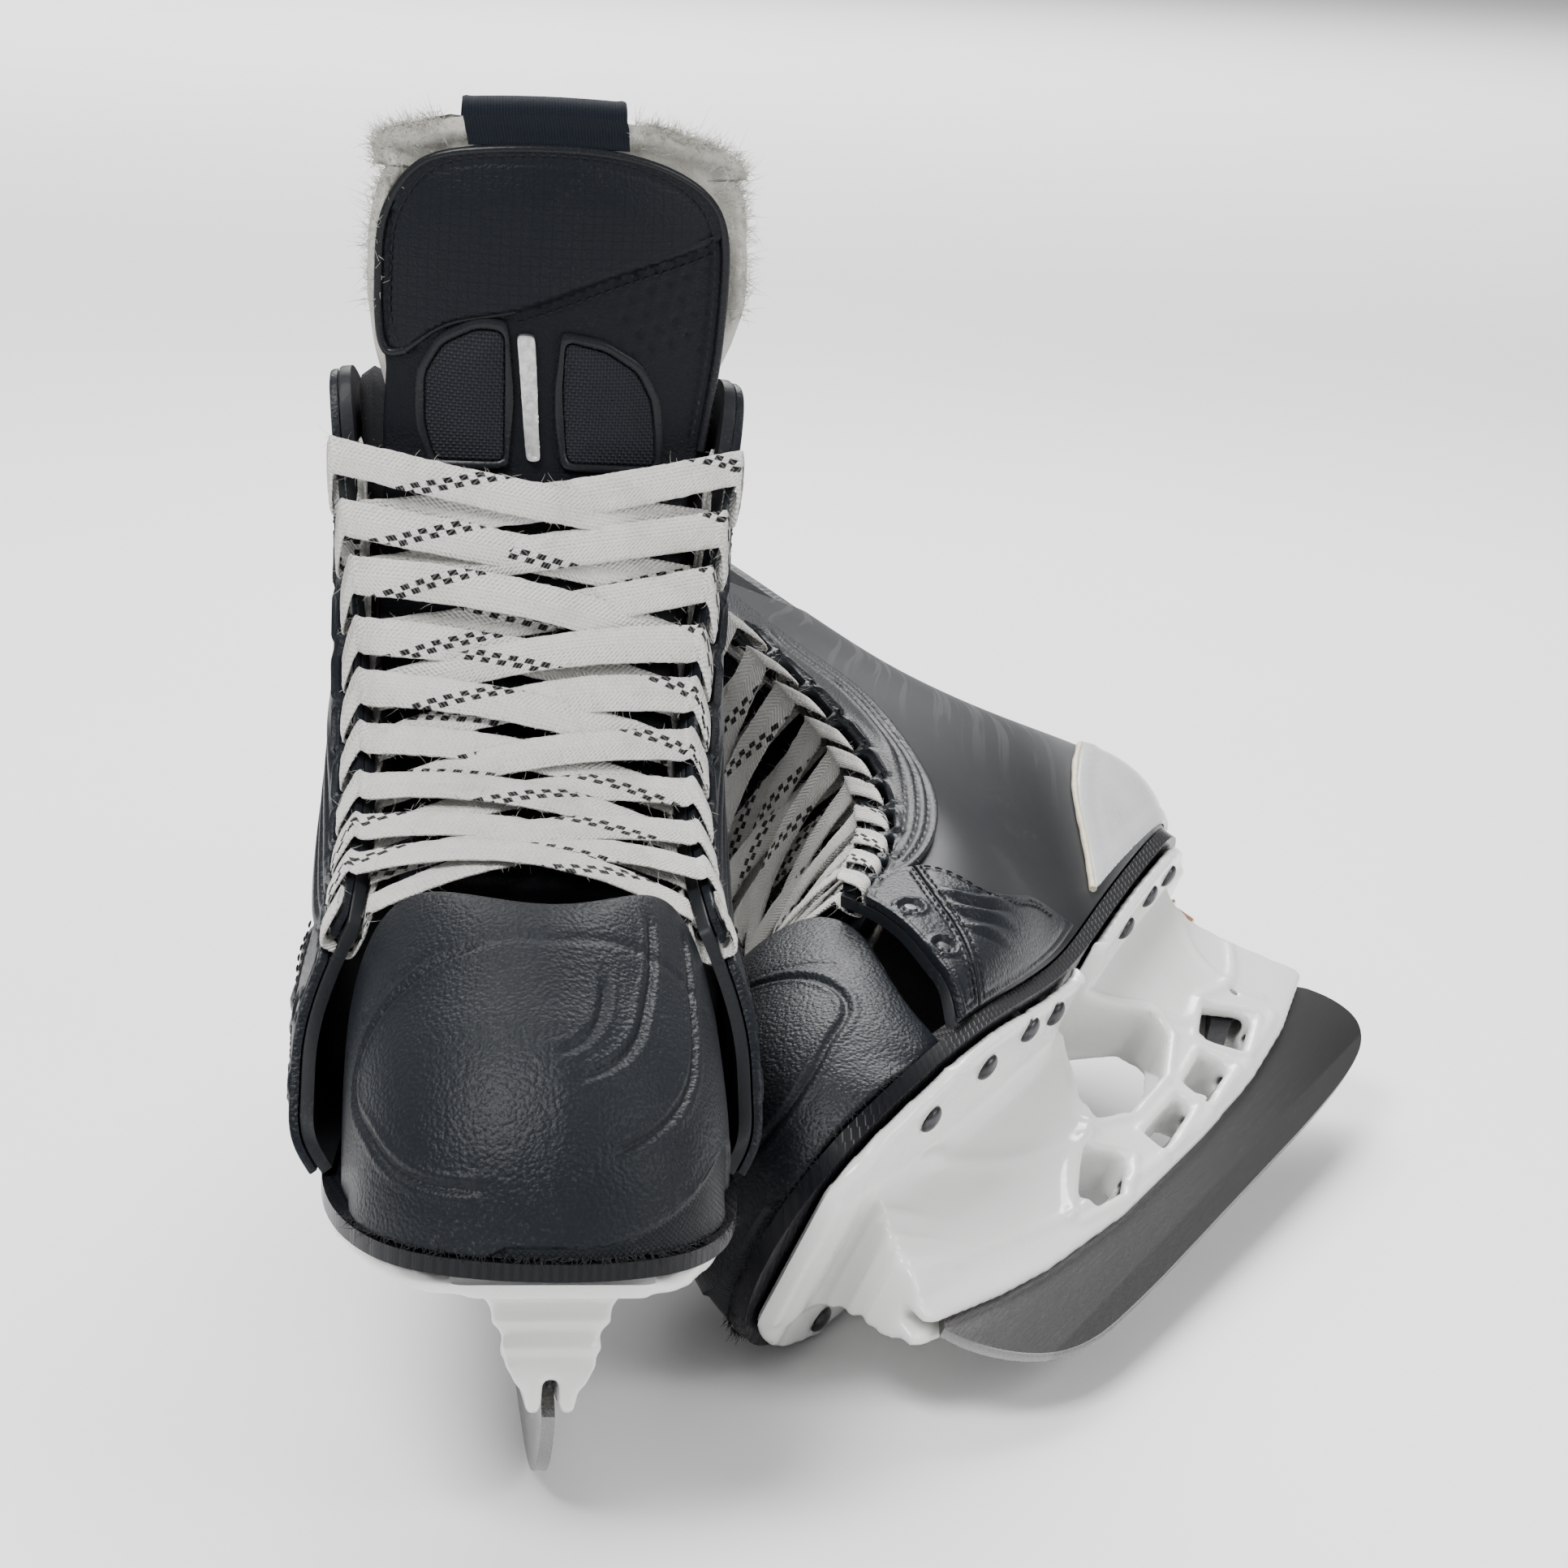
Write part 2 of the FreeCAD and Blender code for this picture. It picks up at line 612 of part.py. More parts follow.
keep(across_cylinder("right_trigger_pin", "pin_radius", "pin_length", -size("pin_length") / 2, PIN_Y, PIN_Z),
     "right_trigger_pin")
spring_outer = across_cylinder("spring_outer", "spring_radius", "spring_width", 1.1, PIN_Y, PIN_Z)
spring_bore = across_cylinder("spring_bore", "spring_bore_radius", "spring_width", 1.1, PIN_Y, PIN_Z)
spring = doc.addObject("Part::Cut", "right_trigger_spring")
spring.Base = spring_outer
spring.Tool = spring_bore
keep(spring, "right_trigger_spring")


def rivet(x, y, head_radius, grip):
    """Rivet through a flange of thickness grip and the outsole: head below, flat clinch above."""
    head_height = size("rivet_head_height")
    radius = size("rivet_radius")
    under = SOLE(y) + HOLDER_TOP - grip
    upper = SOLE(y) + 0.5
    shank = Part.makeCylinder(radius, upper - under + 0.2, Vector(x, y, under - 0.1))
    head = Part.makeCone(head_radius, head_radius * 0.55, head_height, Vector(x, y, under), Vector(0, 0, -1))
    clinch = Part.makeCylinder(head_radius * 0.9, 0.8, Vector(x, y, upper))
    return shank.fuse([head, clinch]).removeSplitter()


FLANGE_GRIP = size("flange_thickness") + 0.6
HEEL_GRIP = size("flange_thickness") + 3.0
flange_rivets = [rivet(x, y, size("rivet_head_radius"), FLANGE_GRIP) for x, y in RIVET_SPOTS]
feature("right_rivets", Part.makeCompound(flange_rivets))
feature("right_heel_rivet", rivet(COPPER_SPOT[0], COPPER_SPOT[1], 4.0, HEEL_GRIP))

# ---------------------------------------------------------------- boot: shell and overlays
FIRST = GAP
SECOND = GAP + OVERLAY
inner_cutters = eyelet_cutters(1)
outer_cutters = eyelet_cutters(-1)


def cut_eyelets(shape):
    """Slots for the lace on both sides."""
    return shape.cut(inner_cutters + outer_cutters)


quarter = boot_layer(-7, 7, always(0.0), always(1.0), -SHELL, 0.0, columns=43, rows=11)
feature("right_quarter_shell", cut_eyelets(quarter))

LINER_GAP = 1.0
LINER_TOP = level_line([(0, 0.92), (2.2, 0.92), (3.0, 0.955), (3.6, 0.96), (4.3, 0.68), (5.2, 0.56),
                        (6.2, 0.52)])
feature("right_ankle_liner", boot_layer(-6.2, 6.2, always(0.06), LINER_TOP, -SHELL - LINER_GAP - LINER,
                                        -SHELL - LINER_GAP, columns=37, rows=9))

COUNTER_TOP = level_line([(0, 0.3), (1.5, 0.29), (2.8, 0.22), (3.6, 0.12), (4.1, 0.05)])
feature("right_heel_counter",
        boot_layer(-4.1, 4.1, always(0.01), COUNTER_TOP, FIRST, SECOND, columns=31, rows=7))

FACING_LOW = level_line([(3.72, 0.83), (4.4, 0.71), (5.2, 0.62), (6.0, 0.66), (6.5, 0.77), (6.95, 0.9)])
WING_TOP = level_line([(5.3, 0.06), (5.7, 0.3), (6.1, 0.52), (6.4, 0.68)])
STRAP_TOP = level_line([(6.46, 0.68), (6.7, 0.74), (6.95, 0.8)])
for label, sign in (("outer", -1), ("inner", 1)):
    facing = boot_layer(3.72 * sign, 6.95 * sign, FACING_LOW, always(0.995), FIRST, SECOND, 19, 6)
    feature(f"right_{label}_facing", facing.cut(inner_cutters if sign > 0 else outer_cutters))
    feature(f"right_{label}_side_panel",
            boot_layer(5.3 * sign, 6.4 * sign, always(0.02), WING_TOP, FIRST, SECOND, 9, 6))
    feature(f"right_{label}_vamp_strap",
            boot_layer(6.46 * sign, 6.95 * sign, always(0.02), STRAP_TOP, FIRST, SECOND, 5, 9))

# ---------------------------------------------------------------- toe cap
CAP_REAR_Y = -93.0
CAP_SWEEP = 24.0           # how far the rear edge swings back at the sides
CROWN = [(0.0, -83, 124), (0.3, -104, 120.5), (0.55, -124, 110), (0.8, -141, 91), (1.0, TOE_Y + 0.5, 73.5)]
CROWN_Y = Spline([c[0] for c in CROWN], [c[1] for c in CROWN])
CROWN_Z = Spline([c[0] for c in CROWN], [c[2] for c in CROWN])


def cap_point(across, forward):
    """Point of the toe cap: across -1 (outer base) .. 1 (inner base), forward 0 (rear) .. 1 (toe)."""
    turn = abs(across) * math.pi / 2
    power = 0.5 + 0.5 * forward
    reach = TOE_OUTER if across < 0 else TOE_INNER
    base_y = CAP_REAR_Y + (TOE_START_Y - CAP_REAR_Y) * forward
    base_z = SOLE(base_y) + 0.2
    rise = math.cos(turn) ** power if turn < math.pi / 2 - 1e-6 else 0.0
    spread = math.sin(turn) ** power if turn > 1e-6 else 0.0
    sweep = CAP_SWEEP * math.sin(2 * turn) * (1 - forward) ** 2
    return Vector(math.copysign(reach * spread, across),
                  base_y + (CROWN_Y(forward) - base_y) * rise + sweep,
                  base_z + (CROWN_Z(forward) - base_z) * rise)


def cap_inner(across, forward, depth):
    """Point of the toe cap's inside: drawn in towards the cap's own middle."""
    point = cap_point(across, forward)
    core = Vector(0, -85, 72)
    inward = core - point
    scale = Vector(1 - depth / 43.0, 1 - depth / 60.0, 1 - depth / 50.0)
    lifted = Vector(core.x - inward.x * scale.x, core.y - inward.y * scale.y, core.z - inward.z * scale.z)
    return Vector(lifted.x, lifted.y, max(lifted.z, point.z - depth))


ACROSS_STOPS = [-1, -0.86, -0.7, -0.55, -0.4, -0.22, 0, 0.22, 0.4, 0.55, 0.7, 0.86, 1]
FORWARD_STOPS = [0, 0.15, 0.3, 0.45, 0.6, 0.75, 0.88, 1.0]
cap_outer = [[cap_point(a, f) for f in FORWARD_STOPS] for a in ACROSS_STOPS]
cap_inside = [[cap_inner(a, f, size("toe_cap_thickness")) for f in FORWARD_STOPS] for a in ACROSS_STOPS]
feature("right_toe_cap", thick_grid(cap_outer, cap_inside))

# ---------------------------------------------------------------- tendon guard
GUARD_BASE_STATION = 1.9
GUARD_HEIGHT = 80.0


def guard_point(side, rise):
    """Point of the tendon guard: it carries on from the collar's back edge, upwards and narrowing."""
    narrowing = 1 - 0.35 * rise ** 2
    base = last_point(side * narrowing, 1.0)
    return Vector(base.x, base.y + 4 * rise + 3 * rise ** 2, base.z + 0.8 + GUARD_HEIGHT * rise)


guard_outer = []
guard_inner = []
for i in range(9):
    side = -GUARD_BASE_STATION + 2 * GUARD_BASE_STATION * i / 8
    column = [guard_point(side, j / 5) for j in range(6)]
    hub = [Vector(0, p.y - 22, p.z) for p in column]
    guard_outer.append(column)
    inner_column = []
    for p, h in zip(column, hub):
        inward = Vector(h.x - p.x, 85 - p.y, 0)
        inward.normalize()
        inner_column.append(p + inward * 4.5)
    guard_inner.append(inner_column)
feature("right_tendon_guard", thick_grid(guard_outer, guard_inner))

# ---------------------------------------------------------------- tongue
# Stations up the tongue's outer face: y, z, half width.  The hinge line splits lower and upper parts.
TONGUE = [(-94, 110, 27), (-72, 114, 30), (-45, 119, 32), (-22, 128, 33), (-5, 140, 34), (8, 156, 36),
          (17, 176, 38), (23, 196, 38.5), (27, 215, 39), (26, 235, 42), (24, 258, 43), (23, 276, 40),
          (24, 287, 31), (25.5, 292, 20)]
HINGE_STATION = 8
TONGUE_KNOTS = list(range(len(TONGUE)))
TONGUE_Y = Spline(TONGUE_KNOTS, [p[0] for p in TONGUE])
TONGUE_Z = Spline(TONGUE_KNOTS, [p[1] for p in TONGUE])
TONGUE_HALF = Spline(TONGUE_KNOTS, [p[2] for p in TONGUE])
TONGUE_SAG = 9.0           # how far the tongue's edges lie behind its middle
TONGUE_SHIFT = [0, 0, 0, 0, 0, 0, 0, 1, 2, 3, 3, 3, 2, 1]
TONGUE_X = Spline(TONGUE_KNOTS, TONGUE_SHIFT)


def tongue_point(along, across, extra=0.0):
    """Point of the tongue's outer face: along its stations, across -1..1 of its half width."""
    step = 0.02
    rise_y = TONGUE_Y(along + step) - TONGUE_Y(along - step)
    rise_z = TONGUE_Z(along + step) - TONGUE_Z(along - step)
    length = math.hypot(rise_y, rise_z)
    out_y, out_z = -rise_z / length, rise_y / length
    growth = min(max((along - HINGE_STATION) / 1.5, 0.0), 1.0)
    x = across * (TONGUE_HALF(along) + extra * growth)
    sag = TONGUE_SAG * (x / 40) ** 2
    return Vector(TONGUE_X(along) + x, TONGUE_Y(along) - out_y * sag, TONGUE_Z(along) - out_z * sag), \
        Vector(0, out_y, out_z)


def tongue_layer(first, last, outside, inside, extra=0.0, left=-1.0, right=1.0, rows=12, columns=9):
    """Solid layer on the tongue between two stations, two sides and two depths."""
    outer = []
    inner = []
    for i in range(rows):
        along = first + (last - first) * i / (rows - 1)
        outer_row = []
        inner_row = []
        for j in range(columns):
            point, out = tongue_point(along, left + (right - left) * j / (columns - 1), extra)
            outer_row.append(point + out * outside)
            inner_row.append(point + out * inside)
        outer.append(outer_row)
        inner.append(inner_row)
    return thick_grid(outer, inner)


TONGUE_SKIN = size("tongue_thickness")
FELT = size("felt_thickness")
LOWER_END = HINGE_STATION - 0.02
UPPER_START = HINGE_STATION + 0.02
TOP_END = len(TONGUE) - 1
feature("right_tongue_lower", tongue_layer(0.4, LOWER_END, 0.0, -TONGUE_SKIN))
feature("right_tongue_felt_lower",
        tongue_layer(0.6, LOWER_END, -TONGUE_SKIN - GAP, -TONGUE_SKIN - GAP - FELT * 0.7, 0.0, -0.9, 0.9))
feature("right_tongue_upper", tongue_layer(UPPER_START, TOP_END - 0.8, 0.0, -TONGUE_SKIN))
feature("right_tongue_felt_upper",
        tongue_layer(UPPER_START, TOP_END, -TONGUE_SKIN - GAP, -TONGUE_SKIN - GAP - FELT, 6.0, -0.96, 0.96))
pads = [tongue_layer(8.35, 9.35, GAP + 1.5, GAP, 0.0, -0.68, -0.22, 5, 5),
        tongue_layer(8.35, 9.35, GAP + 1.5, GAP, 0.0, 0.06, 0.6, 5, 5)]
feature("right_tongue_pads", Part.makeCompound(pads))
feature("right_tongue_strip", tongue_layer(8.3, 9.5, GAP + 1.8, GAP, 0.0, -0.17, 0.0, 5, 3))
feature("right_tongue_label", tongue_layer(12.25, 12.75, GAP + 1.2, GAP, 0.0, -0.62, 0.62, 4, 5))

# ---------------------------------------------------------------- lace
LACE_WIDE = size("lace_width")
LACE_THICK = size("lace_thickness")
LACE_OUTSIDE = GAP + OVERLAY + 0.7 + LACE_THICK / 2
LACE_INSIDE = -SHELL - 0.8 - LACE_THICK / 2
LOWER_BOW = 6.5      # how far a crossing arches out over the tongue
UPPER_BOW = 8.4      # the strand that lies on top arches a little further


def flat_section(centre, width_axis, thick_axis):
    """Corners of the rectangle across the lace, in order round it."""
    wide = width_axis * (LACE_WIDE / 2)
    thick = thick_axis * (LACE_THICK / 2)
    return [centre + wide + thick, centre - wide + thick, centre - wide - thick, centre + wide - thick]


def through_eyelet(row, sign, flip):
    """Sections where the lace goes over the facing, in through its slot and back under the edge."""
    edge, edge_normal, slot, normal, along, away = eyelet_frame(row, sign)
    return [
        (edge - away * 1.0 + edge_normal * LACE_OUTSIDE, along, edge_normal * flip),
        (slot + normal * LACE_OUTSIDE - away * 1.0, along, normal * flip),
        (slot, along, away * flip),
        (slot + normal * LACE_INSIDE - away * 1.0, along, normal * -flip),
        (edge - away * 1.0 + edge_normal * LACE_INSIDE, along, edge_normal * -flip),
    ]


def out_of_throat(along):
    """Direction out of the throat, square to its edge and to the skate's width."""
    out = Vector(0, along.z, -along.y)
    out.normalize()
    return out if out.z - out.y > 0 else out * -1


def corner_section(row, sign, depth, flip):
    """Section where the lace turns round the throat's edge, at a depth from the boot's surface."""
    edge, edge_normal, slot, normal, along, away = eyelet_frame(row, sign)
    turn = edge_normal + out_of_throat(along)
    turn.normalize()
    return (edge - away * 2.2 + edge_normal * depth, along, turn * flip)


def crossing(start, end, bow):
    """Sections of a run over the tongue between two corner sections."""
    out = out_of_throat(start[1] + end[1])
    face = out if start[2].dot(out) > 0 else out * -1
    sections = []
    for share in (0.15, 0.32, 0.5, 0.68, 0.85):
        centre = start[0] * (1 - share) + end[0] * share
        width_axis = start[1] * (1 - share) + end[1] * share
        width_axis.normalize()
        sections.append((centre + out * (bow * math.sin(math.pi * share)), width_axis, face))
    return sections


def lace_strand(first_sign, bow):
    """One half of the lace from the bottom eyelets to the top ones, as one ribbon."""
    path = []
    sign = first_sign
    flip = 1
    for row in range(EYELET_COUNT - 1, -1, -1):
        if path:
            corner = corner_section(row, sign, 0.9, flip)
            path += crossing(path[-1], corner, bow)
            path.append(corner)
        path += through_eyelet(row, sign, flip)
        sign = -sign
        flip = -flip
        if row > 0:
            path.append(corner_section(row, -sign, LACE_INSIDE + 1.2, flip))
    return path


def flat_face(points):
    """Flat face with straight edges."""
    return Part.Face(Part.makePolygon(points + points[:1]))


def ribbon(path):
    """Solid ribbon through its sections, with each side cut into triangles."""
    rings = [flat_section(*stop) for stop in path]
    faces = []
    for ring, following in zip(rings, rings[1:]):
        for i in range(4):
            k = (i + 1) % 4
            faces.append(flat_face([ring[i], ring[k], following[k]]))
            faces.append(flat_face([ring[i], following[k], following[i]]))
    for ring in (rings[0], rings[-1]):
        faces.append(flat_face(ring))
    shell = Part.makeShell(faces)
    shell.sewShape()
    solid = Part.makeSolid(Part.Shell(shell.Faces))
    if solid.Volume < 0:
        solid.reverse()
    return solid


strands = []
for first_sign, bow in ((-1, LOWER_BOW), (1, UPPER_BOW)):
    strands.append(lace_strand(first_sign, bow))
lace_length = sum((b[0] - a[0]).Length for strand in strands for a, b in zip(strand, strand[1:]))
ribbons = [ribbon(strand) for strand in strands]
print("lace length in the eyelets, mm:", round(lace_length), [round(r.Volume) for r in ribbons])
feature("right_lace", ribbons[0].fuse(ribbons[1]))

# ---------------------------------------------------------------- the left skate
doc.recompute()
left_pose = Placement(Vector(size("left_offset_x"), size("left_offset_y"), size("left_offset_z")), Rotation())
left_pose = left_pose.multiply(Placement(Vector(), Rotation(Vector(0, 0, 1), size("left_yaw"))))
left_pose = left_pose.multiply(Placement(Vector(), Rotation(Vector(1, 0, 0), size("left_pitch"))))
left_pose = left_pose.multiply(Placement(Vector(), Rotation(Vector(0, 1, 0), size("left_lean"))))
for right_piece in list(pieces):
    label = right_piece.Label.replace("right_", "left_")
    mirror = doc.addObject("Part::Mirroring", label)
    mirror.Source = right_piece
    mirror.Normal = Vector(1, 0, 0)
    mirror.Base = Vector(0, 0, 0)
    mirror.Placement = left_pose
    keep(mirror, label)
doc.recompute()

# ---------------------------------------------------------------- checks and export
for item in doc.Objects:
    if any(word in item.State for word in ("Invalid", "Error")):
        raise RuntimeError(f"{item.Label} failed: {item.State}")
for item in pieces:
    if item.Shape.isNull() or not item.Shape.isValid():
        raise RuntimeError(f"{item.Label} has no valid shape")
    if item.Shape.Volume < 1:
        raise RuntimeError(f"{item.Label} is empty")

os.makedirs("parts", exist_ok=True)
for item in pieces:
    item.Shape.exportStep(f"parts/{item.Label}.step")
print(len(pieces), "pieces written")
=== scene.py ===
"""Looks of a pair of used ice hockey skates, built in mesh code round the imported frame.

Every piece is shaped once, in millimetres, on the right skate (toe towards -Y, outer side towards -X,
running edge on Z = 0) and then placed twice: as it is, and mirrored on to the skate that lies down.
"""
import math

import bmesh
import bpy
import numpy as np
from mathutils import Matrix, Vector, geometry


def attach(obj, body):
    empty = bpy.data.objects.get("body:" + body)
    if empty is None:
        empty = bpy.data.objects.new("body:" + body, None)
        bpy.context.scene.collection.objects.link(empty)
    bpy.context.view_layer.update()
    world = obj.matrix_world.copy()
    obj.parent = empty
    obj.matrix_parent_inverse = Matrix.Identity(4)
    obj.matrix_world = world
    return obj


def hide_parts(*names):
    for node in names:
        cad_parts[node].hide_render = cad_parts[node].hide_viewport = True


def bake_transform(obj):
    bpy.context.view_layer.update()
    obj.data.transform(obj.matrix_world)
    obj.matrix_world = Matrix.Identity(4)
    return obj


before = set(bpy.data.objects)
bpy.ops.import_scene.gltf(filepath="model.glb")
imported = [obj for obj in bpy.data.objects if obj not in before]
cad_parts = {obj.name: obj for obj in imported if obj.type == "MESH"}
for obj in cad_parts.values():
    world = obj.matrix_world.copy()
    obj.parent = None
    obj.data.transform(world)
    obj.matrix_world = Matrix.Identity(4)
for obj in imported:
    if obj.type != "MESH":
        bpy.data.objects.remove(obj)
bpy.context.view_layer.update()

MM = 0.001
SIDES = ("right", "left")
rng = np.random.default_rng(7)

# ---------------------------------------------------------------- where the second skate lies
LEFT_OFFSET = (191.0, 15.0, 17.3)
LEFT_YAW, LEFT_PITCH, LEFT_LEAN = -34.7, 2.3, -66.2


def left_turn():
    """Rotation of the skate that lies down."""
    turn = Matrix.Rotation(math.radians(LEFT_YAW), 3, "Z")
    turn = turn @ Matrix.Rotation(math.radians(LEFT_PITCH), 3, "X")
    turn = turn @ Matrix.Rotation(math.radians(LEFT_LEAN), 3, "Y")
    return np.array(turn)


LEFT_TURN = left_turn()


def placed(points, side):
    """Points of the right skate in millimetres, moved on to a skate, in metres."""
    points = np.asarray(points, float)
    if side == "right":
        return points * MM
    mirrored = points * (-1, 1, 1)
    return (mirrored @ LEFT_TURN.T + LEFT_OFFSET) * MM


# ---------------------------------------------------------------- curves and surfaces
def weights(knots, at):
    """Share of each knot's value in a natural cubic spline, at many places."""
    knots = np.asarray(knots, float)
    at = np.asarray(at, float).ravel()
    count = len(knots)
    gap = np.diff(knots)
    left_side = np.eye(count)
    right_side = np.zeros((count, count))
    for i in range(1, count - 1):
        left_side[i, i - 1:i + 2] = (gap[i - 1], 2 * (gap[i - 1] + gap[i]), gap[i])
        right_side[i, i - 1:i + 2] = (6 / gap[i - 1], -6 / gap[i - 1] - 6 / gap[i], 6 / gap[i])
    bend = np.linalg.solve(left_side, right_side)
    i = np.clip(np.searchsorted(knots, at, side="left") - 1, 0, count - 2)
    after = (at - knots[i]) / gap[i]
    before = 1 - after
    result = np.zeros((len(at), count))
    rows = np.arange(len(at))
    np.add.at(result, (rows, i), before)
    np.add.at(result, (rows, i + 1), after)
    swell = gap[i] ** 2 / 6
    result += ((before ** 3 - before) * swell)[:, None] * bend[i]
    result += ((after ** 3 - after) * swell)[:, None] * bend[i + 1]
    return result


def unit(vectors):
    """Vectors scaled to length one."""
    return vectors / np.maximum(np.linalg.norm(vectors, axis=-1, keepdims=True), 1e-12)


def smooth_line(knots, step):
    """Points along a smooth curve through a few knots, at an even step."""
    knots = np.asarray(knots, float)
    reach = np.concatenate([[0], np.cumsum(np.linalg.norm(np.diff(knots, axis=0), axis=1))])
    count = max(int(reach[-1] / step), 2) + 1
    return weights(reach, np.linspace(0, reach[-1], count)) @ knots


def straight_line(knots, step):
    """Points along a polyline at an even step."""
    knots = np.asarray(knots, float)
    reach = np.concatenate([[0], np.cumsum(np.linalg.norm(np.diff(knots, axis=0), axis=1))])
    count = max(int(reach[-1] / step), 2) + 1
    at = np.linspace(0, reach[-1], count)
    return np.stack([np.interp(at, reach, knots[:, k]) for k in range(knots.shape[1])], 1)


def distance_to(points, line):
    """Distance of each point to the nearest of a line's points."""
    best = np.empty(len(points))
    line = np.asarray(line, float)
    own = (line ** 2).sum(1)
    for start in range(0, len(points), 4000):
        part = points[start:start + 4000]
        squares = (part ** 2).sum(1)[:, None] + own[None] - 2 * part @ line.T
        best[start:start + 4000] = np.sqrt(np.maximum(squares.min(1), 0))
    return best


def hump(distance, width):
    """Smooth bell, 1 on the line and fading over its width."""
    return np.exp(-(distance / width) ** 2)


def ramp(value, low, high):
    """Smooth step from 0 at low to 1 at high."""
    share = np.clip((value - low) / (high - low), 0, 1)
    return share * share * (3 - 2 * share)


# The last, the surface that the whole boot follows: eight stations from the heel to the toe cap
FOOT_Y = [141, 134, 117, 85, 45, 2, -42, -90]
FOOT_Z = [88, 88, 87, 84, 79, 73, 70, 69]
TOP_Y = [116, 112, 98, 70, 38, 20, -14, -60]
TOP_Z = [205, 206, 209, 216, 225, 172, 133, 118]
HEIGHTS = [0.0, 0.12, 0.3, 0.5, 0.75, 1.0]
HALF_WIDTHS = np.array([
    [0, 0, 0, 0, 0, 0],
    [17, 21, 22, 20, 18, 18],
    [28, 33, 35, 33, 31, 32],
    [31, 36, 40, 41, 40, 42],
    [31, 36, 41, 43, 44, 48],
    [34, 40, 45, 47, 46, 42],
    [42, 49, 52, 52, 48, 40],
    [49, 53, 54, 53.5, 50, 44],
], float)
INNER_SHARE = np.array([1, 1, 1, 1, 1.05, 1.0, 0.92, 0.87])
HEEL_BULGE = [0, 14, 12, 2.5, -2, 0]
BULGE_SHARE = [1, 0.9, 0.5, 0.1, 0, 0, 0, 0]
STATIONS = np.arange(-7, 8)
WIDTHS = np.vstack([-HALF_WIDTHS[:0:-1], HALF_WIDTHS * INNER_SHARE[:, None]])


def both_sides(values):
    """Values at all stations of what is the same on the outer and the inner side."""
    return np.array(list(values)[:0:-1] + list(values), float)


def boot(side, height):
    """Points of the boot's outer surface: side -7 (outer toe) .. 0 (heel) .. 7 (inner toe)."""
    stations = weights(STATIONS, side)
    levels = weights(HEIGHTS, height)
    height = np.asarray(height, float).ravel()
    x = np.einsum("ni,ij,nj->n", stations, WIDTHS, levels)
    foot_y = stations @ both_sides(FOOT_Y)
    foot_z = stations @ both_sides(FOOT_Z)
    y = foot_y + (stations @ both_sides(TOP_Y) - foot_y) * height
    y += (levels @ np.array(HEEL_BULGE, float)) * (stations @ both_sides(BULGE_SHARE))
    z = foot_z + (stations @ both_sides(TOP_Z) - foot_z) * height
    return np.stack([x, y, z], 1)


def normals_of(surface, a, b, hint):
    """Unit normals of a surface on the hint's side."""
    step = 0.01
    along_a = surface(a + step, b) - surface(a - step, b)
    along_b = surface(a, b + step) - surface(a, b - step)
    normal = unit(np.cross(along_a, along_b))
    away = np.sign((normal * hint).sum(1))
    return normal * np.where(away == 0, 1, away)[:, None]


def boot_surface(side, height):
    """Points of the boot with their outward normals."""
    side = np.asarray(side, float).ravel()
    height = np.asarray(height, float).ravel()
    points = boot(side, height)
    hint = np.stack([points[:, 0], np.where(points[:, 1] > 60, (points[:, 1] - 60) * 0.5, 0),
                     np.zeros(len(points))], 1)
    hint[np.abs(side) < 0.5] = (0, 1, 0)
    return points, normals_of(boot, side, height, hint)


SOLE_LINE = [(-152, 74.5), (-125, 70.5), (-90, 69), (-42, 70), (2, 73), (45, 79), (85, 84), (117, 87), (146, 88)]


def sole_height(y):
    """Height of the line where boot and sole meet."""
    return weights([p[0] for p in SOLE_LINE], y) @ np.array([p[1] for p in SOLE_LINE])


CROWN = [(0.0, -83, 124), (0.3, -104, 120.5), (0.55, -124, 110), (0.8, -141, 91), (1.0, -147.5, 73.5)]
TOE_OUTER, TOE_INNER = 43.5, 38.5


def toe(across, forward):
    """Points of the toe cap: across -1 .. 1 from base to base, forward 0 (rear) .. 1 (tip)."""
    across = np.asarray(across, float).ravel()
    forward = np.asarray(forward, float).ravel()
    turn = np.abs(across) * math.pi / 2
    power = 0.5 + 0.5 * forward
    reach = np.where(across < 0, TOE_OUTER, TOE_INNER)
    base_y = -93.0 - 19.0 * forward
    base_z = sole_height(base_y) + 0.2
    rise = np.clip(np.cos(turn), 1e-9, 1) ** power
    spread = np.clip(np.sin(turn), 0, 1) ** power
    crown = weights([c[0] for c in CROWN], forward) @ np.array([c[1:] for c in CROWN], float)
    sweep = 24.0 * np.sin(2 * turn) * (1 - forward) ** 2
    return np.stack([np.copysign(reach * spread, across),
                     base_y + (crown[:, 0] - base_y) * rise + sweep,
                     base_z + (crown[:, 1] - base_z) * rise], 1)


TONGUE = np.array([
    (-94, 110, 27, 0), (-72, 114, 30, 0), (-45, 119, 32, 0), (-22, 128, 33, 0), (-5, 140, 34, 0),
    (8, 156, 36, 0), (17, 176, 38, 0), (23, 196, 38.5, 1), (27, 215, 39, 2), (26, 235, 42, 3),
    (24, 258, 43, 3), (23, 276, 40, 3), (24, 287, 31, 2), (25.5, 292, 20, 1)], float)
TONGUE_SAG = 9.0


def tongue(x, along):
    """Points of the tongue's outer face at x millimetres off its middle."""
    x = np.asarray(x, float).ravel()
    along = np.asarray(along, float).ravel()
    line = weights(np.arange(14), along) @ TONGUE
    out = tongue_out(along)
    sag = TONGUE_SAG * (x / 40) ** 2
    return np.stack([line[:, 3] + x, line[:, 0] - out[:, 1] * sag, line[:, 1] - out[:, 2] * sag], 1)


